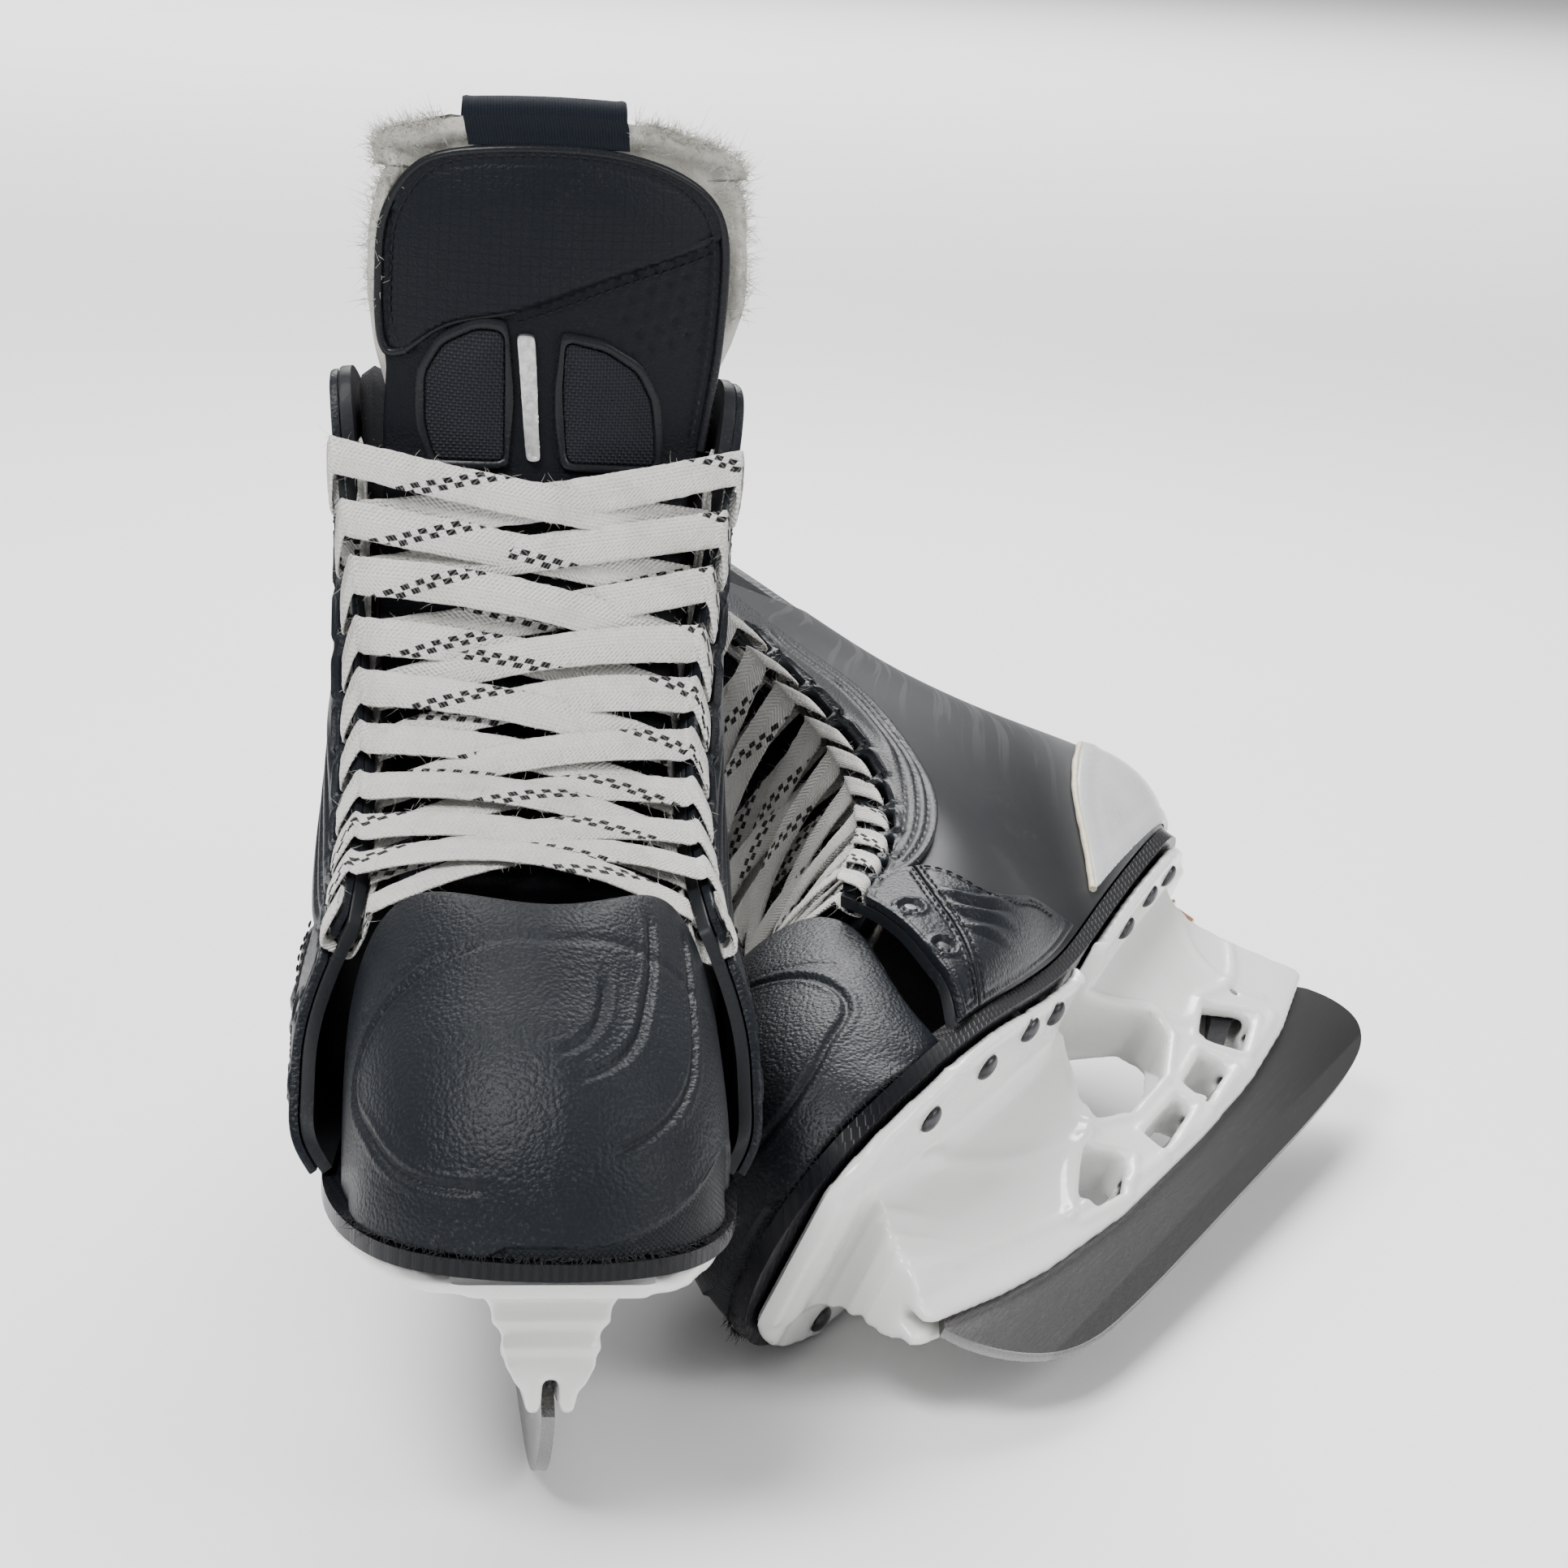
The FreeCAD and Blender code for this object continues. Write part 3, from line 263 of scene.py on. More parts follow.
def tongue_out(along):
    """Direction out of the tongue at its stations."""
    along = np.asarray(along, float).ravel()
    rise = (weights(np.arange(14), along + 0.02) - weights(np.arange(14), along - 0.02)) @ TONGUE[:, :2]
    rise = unit(rise)
    return np.stack([np.zeros(len(along)), -rise[:, 1], rise[:, 0]], 1)


def tongue_surface(x, along):
    """Points of the tongue with their outward normals."""
    return tongue(x, along), normals_of(tongue, np.asarray(x, float).ravel(),
                                        np.asarray(along, float).ravel(), tongue_out(along))


def tongue_half(along):
    """Half width of the tongue's cover at its stations."""
    return weights(np.arange(14), along) @ TONGUE[:, 2]


# ---------------------------------------------------------------- meshes
class Shape:
    """Points, faces and surface coordinates gathered for one piece."""

    def __init__(self):
        self.points, self.quads, self.triangles, self.lay = [], [], [], []
        self.count = 0

    def add(self, points, quads=None, triangles=None, lay=None):
        """Adds a closed part, turned so that its faces look outwards."""
        points = np.asarray(points, float)
        quads = np.zeros((0, 4), int) if quads is None else np.asarray(quads, int)
        triangles = np.zeros((0, 3), int) if triangles is None else np.asarray(triangles, int)
        middle = points.mean(0)
        local = points - middle
        volume = 0.0
        for faces, corners in ((quads, (0, 1, 2)), (quads, (0, 2, 3)), (triangles, (0, 1, 2))):
            if len(faces):
                a, b, c = (local[faces[:, k]] for k in corners)
                volume += (a * np.cross(b, c)).sum()
        if volume < 0:
            quads, triangles = quads[:, ::-1], triangles[:, ::-1]
        self.quads.append(quads + self.count)
        self.triangles.append(triangles + self.count)
        self.points.append(points)
        self.lay.append(np.zeros((len(points), 3)) if lay is None else np.asarray(lay, float))
        self.count += len(points)
        return self

    def join(self, other):
        """Adds all of another shape."""
        for points, quads, triangles, lay in zip(other.points, other.quads, other.triangles, other.lay):
            self.quads.append(quads + self.count)
            self.triangles.append(triangles + self.count)
            self.points.append(points)
            self.lay.append(lay)
        self.count += other.count
        return self


def fill_mesh(mesh, points, quads, triangles):
    """Writes points and faces into an empty mesh."""
    mesh.vertices.add(len(points))
    mesh.vertices.foreach_set("co", points.astype(np.float32).ravel())
    corners = np.concatenate([quads.ravel(), triangles.ravel()]).astype(np.int32)
    starts = np.concatenate([np.arange(len(quads)) * 4, len(quads) * 4 + np.arange(len(triangles)) * 3])
    mesh.loops.add(len(corners))
    mesh.loops.foreach_set("vertex_index", corners)
    mesh.polygons.add(len(starts))
    mesh.polygons.foreach_set("loop_start", starts.astype(np.int32))
    mesh.update(calc_edges=True)


def offset_quads(parts):
    """Faces of several parts as one array of indices."""
    full = [part for part in parts if len(part)]
    return np.concatenate(full) if full else np.zeros((0, parts[0].shape[1]), int)


def make_pair(name, shape, material, body, nodes=(), sharp=38.0, sides=SIDES):
    """Places a shape on both skates as a piece that rides on a body and may replace CAD nodes."""
    made = {}
    points = np.concatenate(shape.points)
    lay = np.concatenate(shape.lay)
    quads, triangles = offset_quads(shape.quads), offset_quads(shape.triangles)
    for side in sides:
        mesh = bpy.data.meshes.new(f"{side}_{name}")
        mirrored = side == "left"
        fill_mesh(mesh, placed(points, side), quads[:, ::-1] if mirrored else quads,
                  triangles[:, ::-1] if mirrored else triangles)
        for label, values in (("own", points), ("lay", lay)):
            attribute = mesh.attributes.new(label, "FLOAT_VECTOR", "POINT")
            attribute.data.foreach_set("vector", values.astype(np.float32).ravel())
        mesh.shade_smooth()
        mesh.set_sharp_from_angle(angle=math.radians(sharp))
        mesh.materials.append(material)
        piece = bpy.data.objects.new(f"{side}_{name}_look", mesh)
        bpy.context.scene.collection.objects.link(piece)
        finish_piece(piece, side, body, nodes)
        made[side] = piece
    return made


def finish_piece(piece, side, body, nodes):
    """Names the body that a piece rides on and the CAD nodes it stands for."""
    if body:
        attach(piece, f"{side}_{body}")
    if nodes:
        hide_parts(*[f"{side}_{node}" for node in nodes])


def closed_grid(outer, inner, lay=None):
    """Closed shell between two matching grids of points."""
    rows, columns = outer.shape[:2]
    index = np.arange(rows * columns).reshape(rows, columns)

    def cells(grid):
        return np.stack([grid[:-1, :-1], grid[1:, :-1], grid[1:, 1:], grid[:-1, 1:]], -1).reshape(-1, 4)

    border = np.concatenate([index[0, :], index[1:, -1], index[-1, -2::-1], index[-2:0:-1, 0]])
    following = np.roll(border, -1)
    size = rows * columns
    rim = np.stack([border, following, following + size, border + size], 1)
    quads = np.concatenate([cells(index), cells(index + size)[:, ::-1], rim])
    points = np.concatenate([outer.reshape(-1, 3), inner.reshape(-1, 3)])
    if lay is not None:
        lay = np.concatenate([lay.reshape(-1, 3)] * 2)
    # the rim runs the other way round where needed
    edge = {tuple(q[:2]) for q in cells(index)} | {tuple(q[1:3]) for q in cells(index)}
    edge |= {tuple(q[2:]) for q in cells(index)} | {(q[3], q[0]) for q in cells(index)}
    if (rim[0][0], rim[0][1]) in edge:
        quads[-len(rim):] = rim[:, ::-1]
    return Shape().add(points, quads, lay=lay)


def inside_loop(points, loop):
    """Whether points lie in a closed loop, both in the plane."""
    x, y = points[:, :1], points[:, 1:2]
    ax, ay = loop[:, 0][None], loop[:, 1][None]
    bx, by = np.roll(loop[:, 0], -1)[None], np.roll(loop[:, 1], -1)[None]
    across = (ay > y) != (by > y)
    slope = np.where(by == ay, 1e-12, by - ay)
    hit = across & (x < (bx - ax) * (y - ay) / slope + ax)
    return hit.sum(1) % 2 == 1


def inset_loop(loop, distance):
    """Loop moved inwards (counter-clockwise loop) by a distance in its plane."""
    ahead = np.roll(loop, -1, 0) - np.roll(loop, 1, 0)
    ahead = unit(ahead)
    return loop + np.stack([-ahead[:, 1], ahead[:, 0]], 1) * distance


def turned_loop(loop, clockwise):
    """Loop with the wanted direction."""
    area = (loop[:, 0] * np.roll(loop[:, 1], -1) - np.roll(loop[:, 0], -1) * loop[:, 1]).sum()
    return loop[::-1] if (area > 0) == clockwise else loop


def plate(outline, holes, surface, scale, inside, outside, relief=None, spacing=1.6, rounding=0.7, edge_step=1.1,
          lay=None):
    """Closed plate on a curved surface, with holes, rounded edges and a relief on its outer face.

    Loops are in the surface's own coordinates, and scale turns those into rough millimetres.
    relief(points, distance to the edge, coordinates) gives the height added to the outer face.
    """
    scale = np.asarray(scale, float)
    loops = []
    for number, loop in enumerate([outline] + list(holes)):
        flat = turned_loop(np.asarray(loop, float) * scale, number > 0)
        flat = straight_line(np.vstack([flat, flat[:1]]), edge_step if number == 0 else edge_step * 0.7)[:-1]
        loops.append(flat)
    flat_points = [loop for loop in loops]
    edges = []
    first = 0
    for loop in loops:
        index = np.arange(len(loop)) + first
        edges += list(zip(index.tolist(), np.roll(index, -1).tolist()))
        first += len(loop)
    all_loops = np.concatenate(loops)
    for depth in (rounding * 0.3, rounding * 0.8, rounding * 1.5):
        for loop in loops:
            ring = inset_loop(loop, depth)
            keep = distance_to(np.c_[ring, np.zeros(len(ring))], np.c_[all_loops, np.zeros(len(all_loops))])
            ring = ring[keep > depth * 0.85]
            good = inside_loop(ring, loops[0])
            for hole in loops[1:]:
                good &= ~inside_loop(ring, hole)
            flat_points.append(ring[good])
    low, high = loops[0].min(0), loops[0].max(0)
    columns = np.arange(low[0], high[0], spacing)
    rows = np.arange(low[1], high[1], spacing * 0.87)
    grid = np.stack(np.meshgrid(columns, rows, indexing="ij"), -1)
    grid[:, 1::2, 0] += spacing / 2
    grid = grid.reshape(-1, 2)
    good = inside_loop(grid, loops[0])
    for hole in loops[1:]:
        good &= ~inside_loop(grid, hole)
    grid = grid[good]
    clear = distance_to(np.c_[grid, np.zeros(len(grid))], np.c_[all_loops, np.zeros(len(all_loops))])
    flat_points.append(grid[clear > rounding * 1.5 + spacing * 0.45])
    flat = np.concatenate(flat_points)
    result = geometry.delaunay_2d_cdt([Vector(p) for p in flat.tolist()], edges, [], 0, 1e-5)
    flat = np.array([tuple(p) for p in result[0]], float)
    faces = np.array([tuple(face) for face in result[2] if len(face) == 3], int)
    middle = flat[faces].mean(1)
    good = inside_loop(middle, loops[0])
    for hole in loops[1:]:
        good &= ~inside_loop(middle, hole)
    faces = faces[good]
    used = np.unique(faces)
    renumber = np.full(len(flat), -1)
    renumber[used] = np.arange(len(used))
    flat, faces = flat[used], renumber[faces]
    a, b, c = (flat[faces[:, k]] for k in range(3))
    wrong = (b[:, 0] - a[:, 0]) * (c[:, 1] - a[:, 1]) - (b[:, 1] - a[:, 1]) * (c[:, 0] - a[:, 0]) < 0
    faces[wrong] = faces[wrong][:, ::-1]
    own = flat / scale
    base, normal = surface(own[:, 0], own[:, 1])
    half_edges = np.concatenate([faces[:, [0, 1]], faces[:, [1, 2]], faces[:, [2, 0]]])
    keys = half_edges[:, 0] * len(flat) + half_edges[:, 1]
    twins = half_edges[:, 1] * len(flat) + half_edges[:, 0]
    border = half_edges[~np.isin(keys, twins)]
    edge_points = base[np.unique(border)]
    distance = distance_to(base, edge_points)
    height = np.full(len(flat), float(outside))
    if relief is not None:
        height = height + relief(base, distance, own)
    lack = np.clip(1 - distance / rounding, 0, 1)
    height -= rounding * (1 - np.sqrt(1 - lack ** 2))
    height = np.maximum(height, inside + 0.15)
    outer = base + normal * height[:, None]
    inner = base + normal * inside
    size = len(flat)
    walls = np.stack([border[:, 1], border[:, 0], border[:, 0] + size, border[:, 1] + size], 1)
    triangles = np.concatenate([faces, faces[:, ::-1] + size])
    mark = np.c_[own, distance] if lay is None else lay(base, distance, own)
    return Shape().add(np.concatenate([outer, inner]), walls, triangles, np.concatenate([mark, mark]))


def ring_stack(rings, close_ends=True):
    """Closed tube through rings of points, all with the same number of points."""
    rings = np.asarray(rings, float)
    count, around = rings.shape[:2]
    index = np.arange(count * around).reshape(count, around)
    turned = np.roll(index, -1, 1)
    quads = np.stack([index[:-1], turned[:-1], turned[1:], index[1:]], -1).reshape(-1, 4)
    points = rings.reshape(-1, 3)
    triangles = np.zeros((0, 3), int)
    if close_ends:
        points = np.concatenate([points, rings[:1].mean(1), rings[-1:].mean(1)])
        start, end = count * around, count * around + 1
        triangles = np.concatenate([
            np.stack([np.full(around, start), turned[0], index[0]], 1),
            np.stack([np.full(around, end), index[-1], turned[-1]], 1)])
    return points, quads, triangles


def frames_along(line, hint=None):
    """Tangent and two cross directions along a line; the first follows the hint where one is given."""
    tangent = unit(np.gradient(line, axis=0))
    if hint is not None:
        up = unit(hint - tangent * (hint * tangent).sum(1, keepdims=True))
    else:
        up = np.zeros_like(line)
        start = np.cross(tangent[0], (0, 0, 1.0))
        up[0] = unit(start if np.linalg.norm(start) > 0.1 else np.cross(tangent[0], (1.0, 0, 0)))
        for i in range(1, len(line)):
            up[i] = unit(up[i - 1] - tangent[i] * (up[i - 1] @ tangent[i]))
    return tangent, up, np.cross(tangent, up)


def tube(line, radius, sides=10, hint=None, flat=1.0):
    """Round rod along a line; flat squashes it along the hint."""
    tangent, up, across = frames_along(line, hint)
    radius = np.broadcast_to(np.asarray(radius, float), (len(line),))
    turn = np.linspace(0, 2 * math.pi, sides, endpoint=False)
    rings = line[:, None] + radius[:, None, None] * (
        np.cos(turn)[None, :, None] * up[:, None] * flat + np.sin(turn)[None, :, None] * across[:, None])
    points, quads, triangles = ring_stack(rings)
    return Shape().add(points, quads, triangles)


def stitches(line, normal, pitch=3.1, length=2.2, radius=0.36, lift=0.1):
    """Row of sewn stitches along a line that lies on a surface with the given normals."""
    reach = np.concatenate([[0], np.cumsum(np.linalg.norm(np.diff(line, axis=0), axis=1))])
    at = np.arange(pitch / 2, reach[-1] - pitch / 2, pitch)
    centre = np.stack([np.interp(at, reach, line[:, k]) for k in range(3)], 1)
    up = unit(np.stack([np.interp(at, reach, normal[:, k]) for k in range(3)], 1))
    ahead = np.stack([np.interp(at + 0.3, reach, line[:, k]) - np.interp(at - 0.3, reach, line[:, k])
                      for k in range(3)], 1)
    ahead = unit(ahead - up * (ahead * up).sum(1, keepdims=True))
    across = np.cross(up, ahead)
    around = np.linspace(0, 2 * math.pi, 6, endpoint=False)
    shape = Shape()
    for c, u, f, a in zip(centre, up, ahead, across):
        rings = []
        for share in (-0.96, -0.7, 0, 0.7, 0.96):
            wide = radius * math.sqrt(1 - share ** 2 * 0.92)
            arch = 0.12 * (1 - share ** 2)
            rings.append(c + f * (share * length / 2) + u * (lift + arch)
                         + wide * (np.cos(around)[:, None] * a + np.sin(around)[:, None] * u))
        points, quads, triangles = ring_stack(np.array(rings))
        shape.add(points, quads, triangles)
    return shape


def lathe(profile, centre, axis, side_axis, sides=24):
    """Turned solid: profile is (radius, height) pairs from the bottom up."""
    axis = unit(np.asarray(axis, float))
    side_axis = unit(np.asarray(side_axis, float) - axis * (np.asarray(side_axis, float) @ axis))
    third = np.cross(axis, side_axis)
    turn = np.linspace(0, 2 * math.pi, sides, endpoint=False)
    rings = [np.asarray(centre, float) + axis * height
             + radius * (np.cos(turn)[:, None] * side_axis + np.sin(turn)[:, None] * third)
             for radius, height in profile]
    points, quads, triangles = ring_stack(np.array(rings))
    return Shape().add(points, quads, triangles)


# ---------------------------------------------------------------- material toolkit
class Wire:
    """Value in a node tree, with arithmetic that adds the nodes for it."""

    def __init__(self, tree, socket):
        self.tree, self.socket = tree, socket

    def _math(self, operation, *others):
        return math_node(self.tree, operation, self, *others)

    def __add__(self, other):
        return self._math("ADD", other)

    __radd__ = __add__

    def __sub__(self, other):
        return self._math("SUBTRACT", other)

    def __rsub__(self, other):
        return math_node(self.tree, "SUBTRACT", other, self)

    def __mul__(self, other):
        return self._math("MULTIPLY", other)

    __rmul__ = __mul__

    def __truediv__(self, other):
        return self._math("DIVIDE", other)

    def __neg__(self):
        return self._math("MULTIPLY", -1.0)

    def least(self, other):
        return self._math("MINIMUM", other)

    def most(self, other):
        return self._math("MAXIMUM", other)

    def size(self):
        return self._math("ABSOLUTE")

    def power(self, other):
        return self._math("POWER", other)

    def fraction(self):
        return self._math("FRACT")

    def whole(self):
        return self._math("FLOOR")

    def below(self, other):
        return self._math("LESS_THAN", other)

    def above(self, other):
        return self._math("GREATER_THAN", other)

    def step(self, low, high):
        """Smooth step between two values."""
        node = self.tree.nodes.new("ShaderNodeMapRange")
        node.interpolation_type = "SMOOTHSTEP"
        plug(self.tree, node.inputs["Value"], self)
        node.inputs["From Min"].default_value = low
        node.inputs["From Max"].default_value = high
        return Wire(self.tree, node.outputs["Result"])


def plug(tree, target, value):
    """Sets an input to a number or colour, or links a wire to it."""
    if isinstance(value, Wire):
        tree.links.new(value.socket, target)
    elif hasattr(target.default_value, "__len__") and not isinstance(value, (int, float)):
        target.default_value = tuple(value) + (1.0,) * (len(target.default_value) - len(value))
    else:
        target.default_value = value


def math_node(tree, operation, *values):
    """Math node over one to three values."""
    node = tree.nodes.new("ShaderNodeMath")
    node.operation = operation
    for target, value in zip(node.inputs, values):
        plug(tree, target, value)
    return Wire(tree, node.outputs[0])


def surface_place(tree, label="own", scale=(1, 1, 1), offset=(0, 0, 0)):
    """Vector of a named surface attribute, scaled and shifted."""
    source = tree.nodes.new("ShaderNodeAttribute")
    source.attribute_name = label
    mapping = tree.nodes.new("ShaderNodeMapping")
    tree.links.new(source.outputs["Vector"], mapping.inputs["Vector"])
    mapping.inputs["Scale"].default_value = scale
    mapping.inputs["Location"].default_value = offset
    return Wire(tree, mapping.outputs["Vector"])


def parts_of(tree, vector):
    """The three numbers of a vector."""
    node = tree.nodes.new("ShaderNodeSeparateXYZ")
    plug(tree, node.inputs[0], vector)
    return [Wire(tree, output) for output in node.outputs]


def vector_from(tree, x, y, z=0.0):
    """Vector from three values."""
    node = tree.nodes.new("ShaderNodeCombineXYZ")
    for target, value in zip(node.inputs, (x, y, z)):
        plug(tree, target, value)
    return Wire(tree, node.outputs[0])


def noise(tree, vector, scale, detail=3.0, roughness=0.55):
    """Noise value 0..1."""
    node = tree.nodes.new("ShaderNodeTexNoise")
    plug(tree, node.inputs["Vector"], vector)
    plug(tree, node.inputs["Scale"], scale)
    node.inputs["Detail"].default_value = detail
    node.inputs["Roughness"].default_value = roughness
    return Wire(tree, node.outputs["Fac"])


def cells(tree, vector, scale, feature="F1", randomness=1.0):
    """Distance in a pattern of cells."""
    node = tree.nodes.new("ShaderNodeTexVoronoi")
    node.feature = feature
    plug(tree, node.inputs["Vector"], vector)
    plug(tree, node.inputs["Scale"], scale)
    node.inputs["Randomness"].default_value = randomness
    return Wire(tree, node.outputs["Distance"])


def mixed(tree, share, first, second):
    """Colour between two colours."""
    node = tree.nodes.new("ShaderNodeMix")
    node.data_type = "RGBA"
    plug(tree, node.inputs[0], share)
    plug(tree, node.inputs[6], first)
    plug(tree, node.inputs[7], second)
    return Wire(tree, node.outputs[2])


def new_group(name, inputs, outputs, build):
    """Node group with named inputs and outputs; build gets the tree and the inputs and returns the outputs."""
    tree = bpy.data.node_groups.new(name, "ShaderNodeTree")
    for label, kind, value in inputs:
        socket = tree.interface.new_socket(name=label, in_out="INPUT", socket_type=kind)
        if value is not None:
            socket.default_value = value
    for label in outputs:
        tree.interface.new_socket(name=label, in_out="OUTPUT", socket_type="NodeSocketFloat")
    entry = tree.nodes.new("NodeGroupInput")
    leave = tree.nodes.new("NodeGroupOutput")
    wires = {label: Wire(tree, entry.outputs[label]) for label, _, _ in inputs}
    for label, wire in build(tree, wires).items():
        tree.links.new(wire.socket, leave.inputs[label])
    return tree


def use_group(tree, group, **values):
    """Places a group with its inputs and returns its outputs by name."""
    node = tree.nodes.new("ShaderNodeGroup")
    node.node_tree = group
    for label, value in values.items():
        plug(tree, node.inputs[label.replace("_", " ")], value)
    return {output.name: Wire(tree, output) for output in node.outputs}


def build_grain(tree, wires):
    """Pebbled moulding or leather: rounded bumps with fine pores between them."""
    bumps = cells(tree, wires["Vector"], wires["Density"], "SMOOTH_F1")
    fine = noise(tree, wires["Vector"], wires["Density"] * 2.3, 2.0)
    return {"Height": (1.0 - bumps * 1.15) * 0.75 + fine * 0.35}


def build_wear(tree, wires):
    """Scuffs and rubbed patches: a few soft areas broken up by fine marks."""
    areas = noise(tree, wires["Vector"], wires["Density"], 2.0).step(0.52, 0.7)
    marks = noise(tree, wires["Vector"], wires["Density"] * 26.0, 3.0, 0.65).step(0.56, 0.66)
    dust = noise(tree, wires["Vector"], wires["Density"] * 60.0, 1.0).step(0.66, 0.74)
    mask = (areas * marks + dust * 0.35) * wires["Amount"]
    return {"Mask": mask.least(1.0), "Patches": areas}


def build_weave(tree, wires):
    """Plain weave: crossing threads over and under each other."""
    x, y, _ = parts_of(tree, wires["Vector"])
    across, along = x * wires["Density"], y * wires["Density"]
    checker = ((across.whole() + along.whole()) * 0.5).fraction().above(0.25)
    round_x = (across.fraction() - 0.5).size() * -2.0 + 1.0
    round_y = (along.fraction() - 0.5).size() * -2.0 + 1.0
    height = checker * round_x.power(0.6) + (1.0 - checker) * round_y.power(0.6)
    return {"Height": height, "Over": checker}


VECTOR_IN = ("Vector", "NodeSocketVector", None)
GRAIN = new_group("moulded grain", [VECTOR_IN, ("Density", "NodeSocketFloat", 1.0)], ["Height"], build_grain)
WEAR = new_group("scuffs and dust", [VECTOR_IN, ("Density", "NodeSocketFloat", 0.05),
                                     ("Amount", "NodeSocketFloat", 1.0)], ["Mask", "Patches"], build_wear)
WEAVE = new_group("plain weave", [VECTOR_IN, ("Density", "NodeSocketFloat", 1.0)], ["Height", "Over"],
                  build_weave)


class Finish:
    """Material under construction: a Principled shader with helpers to feed it."""

    def __init__(self, name, **settings):
        self.material = bpy.data.materials.new(name)
        self.material.use_nodes = True
        self.tree = self.material.node_tree
        self.shader = next(n for n in self.tree.nodes if n.type == "BSDF_PRINCIPLED")
        for label, value in settings.items():
            self.feed(label, value)

    def feed(self, label, value):
        plug(self.tree, self.shader.inputs[label.replace("_", " ")], value)

    def bump(self, height, distance, strength=1.0, base=None):
        """Bump from a height; distance is in metres."""
        node = self.tree.nodes.new("ShaderNodeBump")
        node.inputs["Strength"].default_value = strength
        node.inputs["Distance"].default_value = distance
        self.tree.links.new(height.socket, node.inputs["Height"])
        if base is not None:
            self.tree.links.new(base.socket, node.inputs["Normal"])
        wire = Wire(self.tree, node.outputs["Normal"])
        self.tree.links.new(wire.socket, self.shader.inputs["Normal"])
        return wire

    def own(self, **settings):
        return surface_place(self.tree, "own", **settings)

    def lay(self, **settings):
        return surface_place(self.tree, "lay", **settings)

    def wear(self, place, density, amount):
        return use_group(self.tree, WEAR, Vector=place, Density=density, Amount=amount)


def black_moulding(name, dark, light, roughness, density, depth, wear_amount=0.5, own=True):
    """Black moulded plastic or coated cloth with grain, paler scuffs and dust."""
    finish = Finish(name, Specular_IOR_Level=0.15)
    tree = finish.tree
    place = finish.own() if own else object_place(tree)
    grain = use_group(tree, GRAIN, Vector=place, Density=density)["Height"]
    worn = finish.wear(place, 0.045, wear_amount)
    cloud = noise(tree, place, 0.03, 2.0)
    finish.feed("Base Color", mixed(tree, worn["Mask"] * 0.4, mixed(tree, cloud, dark, light), (0.09, 0.093, 0.1)))
    finish.feed("Roughness", grain * 0.12 + worn["Mask"] * 0.2 + (roughness - 0.06))
    finish.bump(grain, depth)
    return finish


def object_place(tree):
    """Place on a frame part, in millimetres of the row."""
    source = tree.nodes.new("ShaderNodeTexCoord")
    mapping = tree.nodes.new("ShaderNodeMapping")
    tree.links.new(source.outputs["Object"], mapping.inputs["Vector"])
    mapping.inputs["Scale"].default_value = (1000, 1000, 1000)
    return Wire(tree, mapping.outputs["Vector"])


# ---------------------------------------------------------------- finishes
def toe_cap_finish():
    """Black pebbled plastic, with a fine diamond mesh moulded low on the inner front."""
    finish = black_moulding("toe cap plastic", (0.007, 0.0085, 0.011), (0.012, 0.014, 0.0175), 0.38, 1.15, 0.0003, 0.6)
    tree = finish.tree
    place = finish.own()
    x, y, z = parts_of(tree, place)
    lay_x, lay_y, mesh_mask = parts_of(tree, finish.lay())
    along = (x * 0.9 + y * 0.35) * 0.8
    rise = z * 0.8
    diamonds = ((along + rise).fraction() - 0.5).size().most(((along - rise).fraction() - 0.5).size()).step(0.3, 0.48)
    grain = use_group(tree, GRAIN, Vector=place, Density=1.15)["Height"]
    height = grain * (1.0 - mesh_mask) + diamonds * mesh_mask
    fine = noise(tree, place, 3.0, 2.0)
    finish.bump(height + fine * 0.12, 0.00026)
    return finish.material


def quarter_finish():
    """Dark grey composite that fades to light grey at the heel through long streaks."""
    finish = Finish("boot shell composite", Specular_IOR_Level=0.17)
    tree = finish.tree
    side, height, _ = parts_of(tree, finish.lay())
    place = finish.own()
    distance = side.size()
    slant = distance - height * 0.9
    lines = noise(tree, vector_from(tree, side * 0.25, height * 34.0 + distance * 5.5), 1.0, 2.0, 0.6)
    breaks = noise(tree, vector_from(tree, side * 1.1, height * 34.0 + distance * 5.5, 3.0), 1.0, 1.0)
    fade = 1.0 - (distance * 0.55 + height * 2.4).step(0.9, 2.5)
    streaks = lines.step(0.52, 0.57) * breaks.step(0.42, 0.52) * (1.0 - slant.step(2.2, 3.6)) * slant.step(0.6, 1.6)
    base = mixed(tree, fade, (0.0085, 0.0098, 0.012), (0.25, 0.255, 0.26))
    base = mixed(tree, streaks * 0.5, base, (0.055, 0.058, 0.062))
    worn = finish.wear(place, 0.04, 0.5)
    finish.feed("Base Color", mixed(tree, worn["Mask"] * 0.3, base, (0.2, 0.2, 0.2)))
    finish.feed("Roughness", worn["Mask"] * 0.2 + noise(tree, place, 0.08) * 0.08 + 0.42 - streaks * 0.06)
    finish.feed("Coat Weight", 0.02)
    finish.bump(noise(tree, place, 5.0, 2.0), 0.00006)
    return finish.material


